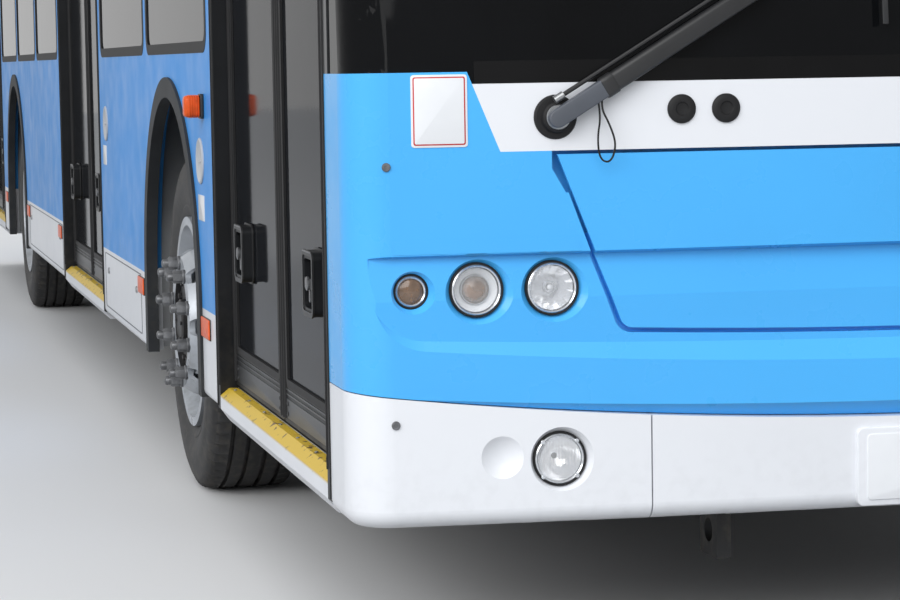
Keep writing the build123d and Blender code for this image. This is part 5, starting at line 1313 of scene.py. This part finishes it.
def cushion(low, high, crown, seams=()):
    """A crowned pad with sides that pull in between its corners and seams pressed across it."""
    low, high = Vector(low), Vector(high)
    deselect()
    bpy.ops.mesh.primitive_cube_add(size=1)
    piece = bpy.context.object
    bpy.ops.object.mode_set(mode="EDIT")
    bpy.ops.mesh.select_all(action="SELECT")
    bpy.ops.mesh.subdivide(number_cuts=15)
    bpy.ops.object.mode_set(mode="OBJECT")
    size = high - low
    thin = min(range(3), key=lambda n: size[n])
    wide = [n for n in range(3) if n != thin]
    for vertex in piece.data.vertices:
        u, v, w = (2 * vertex.co[n] for n in (*wide, thin))
        swell = (1 - u**4) * (1 - v**4)
        pull = 1 - 0.045 * (1 - abs(v) ** 2) * abs(u) ** 6
        squeeze = 1 - 0.045 * (1 - abs(u) ** 2) * abs(v) ** 6
        depth = 1 - crown + crown * swell
        for place in seams:
            depth -= 0.16 * math.exp(-(((v - place) / 0.05) ** 2)) * (1 - abs(u) ** 8)
        edge = 1 - 0.1 * max(abs(u), abs(v)) ** 10 * abs(w) ** 2
        vertex.co[wide[0]] = u / 2 * pull * edge
        vertex.co[wide[1]] = v / 2 * squeeze * edge
        vertex.co[thin] = w / 2 * depth
    piece.scale = size
    piece.location = (low + high) / 2
    settle(piece)
    return modify(piece, "SUBSURF", levels=1, render_levels=1)


class TROLLEYBUS_OT_cab(bpy.types.Operator):
    """Makes the driver's seat and the instruments"""

    bl_idname = "trolleybus.cab"
    bl_label = "Cab"

    def execute(self, context):
        self.seat()
        self.instruments()
        return {"FINISHED"}

    def seat(self):
        """The driver's seat: pedestal, shell and three cushions."""
        low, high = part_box("driver_seat")
        y = (low.y + high.y) / 2
        x = low.x + 0.17
        frame_parts = [slab((x + 0.09, y - 0.15, 0.386), (x + 0.32, y + 0.15, 0.44), 0.02, 2, 0.004)]
        for n in range(5):
            z = 0.44 + 0.06 * n
            frame_parts.append(slab((x + 0.11, y - 0.12, z), (x + 0.3, y + 0.12, z + 0.05), 0.02, 2, 0.012))
        frame_parts.append(slab((x - 0.04, y - 0.235, 0.735), (x + 0.465, y + 0.235, 0.8), 0.03, 2, 0.012))
        back = slab((x - 0.02, y - 0.22, 0.8), (x + 0.03, y + 0.22, 1.49), 0.05, 0, 0.012)
        tilt = Matrix.Rotation(math.radians(-8), 4, "Y")
        lean = Matrix.Translation((x, 0, 0.8)) @ tilt @ Matrix.Translation((-x, 0, -0.8))
        frame_parts.append(put(back, Matrix.Translation((-0.045, 0, 0)) @ lean))
        for way in (-1, 1):
            post = [(x - 0.13, y + way * 0.05, 1.44), (x - 0.128, y + way * 0.05, 1.54)]
            frame_parts.append(bar(post, 0.007))
        shell = dress(frame_parts, "driver_seat_frame", BODY, "dash_black")
        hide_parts("driver_seat")
        seat = cushion((x - 0.03, y - 0.232, 0.8), (x + 0.478, y + 0.232, 0.92), 0.3, (-0.5, 0.5))
        rest = cushion((x, y - 0.222, 0.87), (x + 0.085, y + 0.222, 1.495), 0.35, (-0.35, 0.1, 0.55))
        put(rest, Matrix.Translation((-0.035, 0, 0)) @ lean)
        head = cushion((x - 0.165, y - 0.125, 1.5), (x - 0.085, y + 0.125, 1.675), 0.4)
        for name, piece in (("seat", seat), ("back", rest), ("head", head)):
            dress(piece, f"driver_{name}_cushion", BODY, "seat_cloth", 60)

    def instruments(self):
        """Gauges and switches on the dashboard."""
        low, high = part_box("dashboard")
        parts = []
        for n, y in enumerate((0.53, 0.64, 0.75)):
            place = (low.x + 0.06 + 0.02 * (n == 1), y, high.z - 0.001)
            gauge = [(0.04, 0), (0.04, 0.012), (0.037, 0.015), (0.034, 0.012), (0.034, 0.004), (0.004, 0.004)]
            parts.append(turned(gauge, place, (-0.3, 0, 1), 32))
        for n in range(8):
            y = 0.36 - 0.045 * n
            corners = (low.x + 0.04, y - 0.014, high.z - 0.001), (low.x + 0.08, y + 0.014, high.z + 0.009)
            parts.append(slab(*corners, 0.004, 2, 0.002))
        dress(parts, "dash_instruments", BODY, "black_plastic")


# Stage

# Place, power in watts and size in metres of each lamp
LAMPS = (((14, -4, 7), 620, 8), ((12, -12, 7), 850, 7), ((-9, 11, 10), 700, 8))
LAMP_AIM = (2, 0, 1)


def seen_directly(nodes, links):
    """1 for what the camera, a reflection or a pane shows, and 0 for light that falls on the vehicle."""
    path = nodes.new("ShaderNodeLightPath")
    either = path.outputs["Is Camera Ray"]
    for ray in ("Is Glossy Ray", "Is Transmission Ray"):
        most = nodes.new("ShaderNodeMath")
        most.operation = "MAXIMUM"
        links.new(either, most.inputs[0])
        links.new(path.outputs[ray], most.inputs[1])
        either = most.outputs[0]
    return either


class TROLLEYBUS_OT_stage(bpy.types.Operator):
    """Sets the camera, floor and light"""

    bl_idname = "trolleybus.stage"
    bl_label = "Stage"

    def execute(self, context):
        stage = context.scene.trolleybus_stage
        self.camera(context, stage)
        self.floor(stage)
        self.light(context)
        context.scene.view_settings.view_transform = "Standard"
        return {"FINISHED"}

    def camera(self, context, stage):
        """A camera at the photograph's viewpoint."""
        deselect()
        heading, pitch = math.radians(stage.heading), math.radians(stage.pitch)
        ahead = Vector((-math.cos(heading) * math.cos(pitch), math.sin(heading) * math.cos(pitch), -math.sin(pitch)))
        bpy.ops.object.camera_add(location=stage.eye)
        camera = context.object
        camera.rotation_mode = "QUATERNION"
        roll = Matrix.Rotation(math.radians(stage.roll), 4, "Z").to_quaternion()
        camera.rotation_quaternion = ahead.to_track_quat("-Z", "Y") @ roll
        camera.data.lens = stage.lens
        camera.data.clip_end = 200
        context.scene.camera = camera

    def floor(self, stage):
        """The pale floor."""
        deselect()
        bpy.ops.mesh.primitive_plane_add(size=120, location=(0, 0, 0))
        floor = bpy.context.object
        floor.name = "floor_plane"
        finish = Recipe("stage_floor", stage.shade, 0.9)
        finish.blend(seen_directly(finish.nodes, finish.links), stage.floor)
        floor.data.materials.append(finish.material)

    def light(self, context):
        """A bright sky all round and three large soft lamps."""
        world = bpy.data.worlds.new("studio")
        context.scene.world = world
        world.use_nodes = True
        nodes, links = world.node_tree.nodes, world.node_tree.links
        sky = nodes["Background"]
        place = nodes.new("ShaderNodeTexCoord").outputs["Generated"]
        split = nodes.new("ShaderNodeSeparateXYZ")
        links.new(place, split.inputs[0])
        rise = nodes.new("ShaderNodeMapRange")
        for socket, number in zip(("From Min", "From Max", "To Min", "To Max"), (-0.1, 0.9, 0.45, 0.85)):
            rise.inputs[socket].default_value = number
        links.new(split.outputs["Z"], rise.inputs["Value"])
        sky.inputs["Color"].default_value = (0.93, 0.96, 1.0, 1)
        links.new(rise.outputs["Result"], sky.inputs["Strength"])
        backdrop = nodes.new("ShaderNodeBackground")
        backdrop.inputs["Strength"].default_value = 0.95
        mix = nodes.new("ShaderNodeMixShader")
        links.new(seen_directly(nodes, links), mix.inputs["Fac"])
        links.new(sky.outputs["Background"], mix.inputs[1])
        links.new(backdrop.outputs["Background"], mix.inputs[2])
        links.new(mix.outputs["Shader"], nodes["World Output"].inputs["Surface"])
        for place, power, size in LAMPS:
            deselect()
            bpy.ops.object.light_add(type="AREA", location=place)
            lamp = context.object
            lamp.data.energy = power
            lamp.data.size = size
            lamp.rotation_mode = "QUATERNION"
            lamp.rotation_quaternion = (Vector(LAMP_AIM) - Vector(place)).to_track_quat("-Z", "Y")


class TROLLEYBUS_PT_panel(bpy.types.Panel):
    """Lists the steps of the dressing."""

    bl_label = "Trolleybus"
    bl_idname = "TROLLEYBUS_PT_panel"
    bl_space_type = "VIEW_3D"
    bl_region_type = "UI"
    bl_category = "Trolleybus"

    def draw(self, context):
        for step in STEPS:
            self.layout.operator(step.bl_idname)


STEPS = (
    TROLLEYBUS_OT_panels,
    TROLLEYBUS_OT_wheels,
    TROLLEYBUS_OT_lamps,
    TROLLEYBUS_OT_signs,
    TROLLEYBUS_OT_wipers,
    TROLLEYBUS_OT_doors,
    TROLLEYBUS_OT_sides,
    TROLLEYBUS_OT_mirrors,
    TROLLEYBUS_OT_rear,
    TROLLEYBUS_OT_roof,
    TROLLEYBUS_OT_cab,
    TROLLEYBUS_OT_stage,
)
GROUPS = {
    "trolleybus_paint": TROLLEYBUS_PG_paint,
    "trolleybus_wheel": TROLLEYBUS_PG_wheel,
    "trolleybus_front": TROLLEYBUS_PG_front,
    "trolleybus_stage": TROLLEYBUS_PG_stage,
}


def register():
    """Adds the classes and their settings."""
    for group in GROUPS.values():
        bpy.utils.register_class(group)
    for step in STEPS:
        bpy.utils.register_class(step)
    bpy.utils.register_class(TROLLEYBUS_PT_panel)
    for name, group in GROUPS.items():
        setattr(bpy.types.Scene, name, PointerProperty(type=group))


def unregister():
    """Takes the classes and their settings away."""
    for name in GROUPS:
        delattr(bpy.types.Scene, name)
    bpy.utils.unregister_class(TROLLEYBUS_PT_panel)
    for step in reversed(STEPS):
        bpy.utils.unregister_class(step)
    for group in reversed(list(GROUPS.values())):
        bpy.utils.unregister_class(group)


def main():
    """Dresses the frame."""
    register()
    for step in STEPS:
        kind, name = step.bl_idname.split(".")
        getattr(getattr(bpy.ops, kind), name)()
    deselect()


if __name__ == "__main__":
    main()
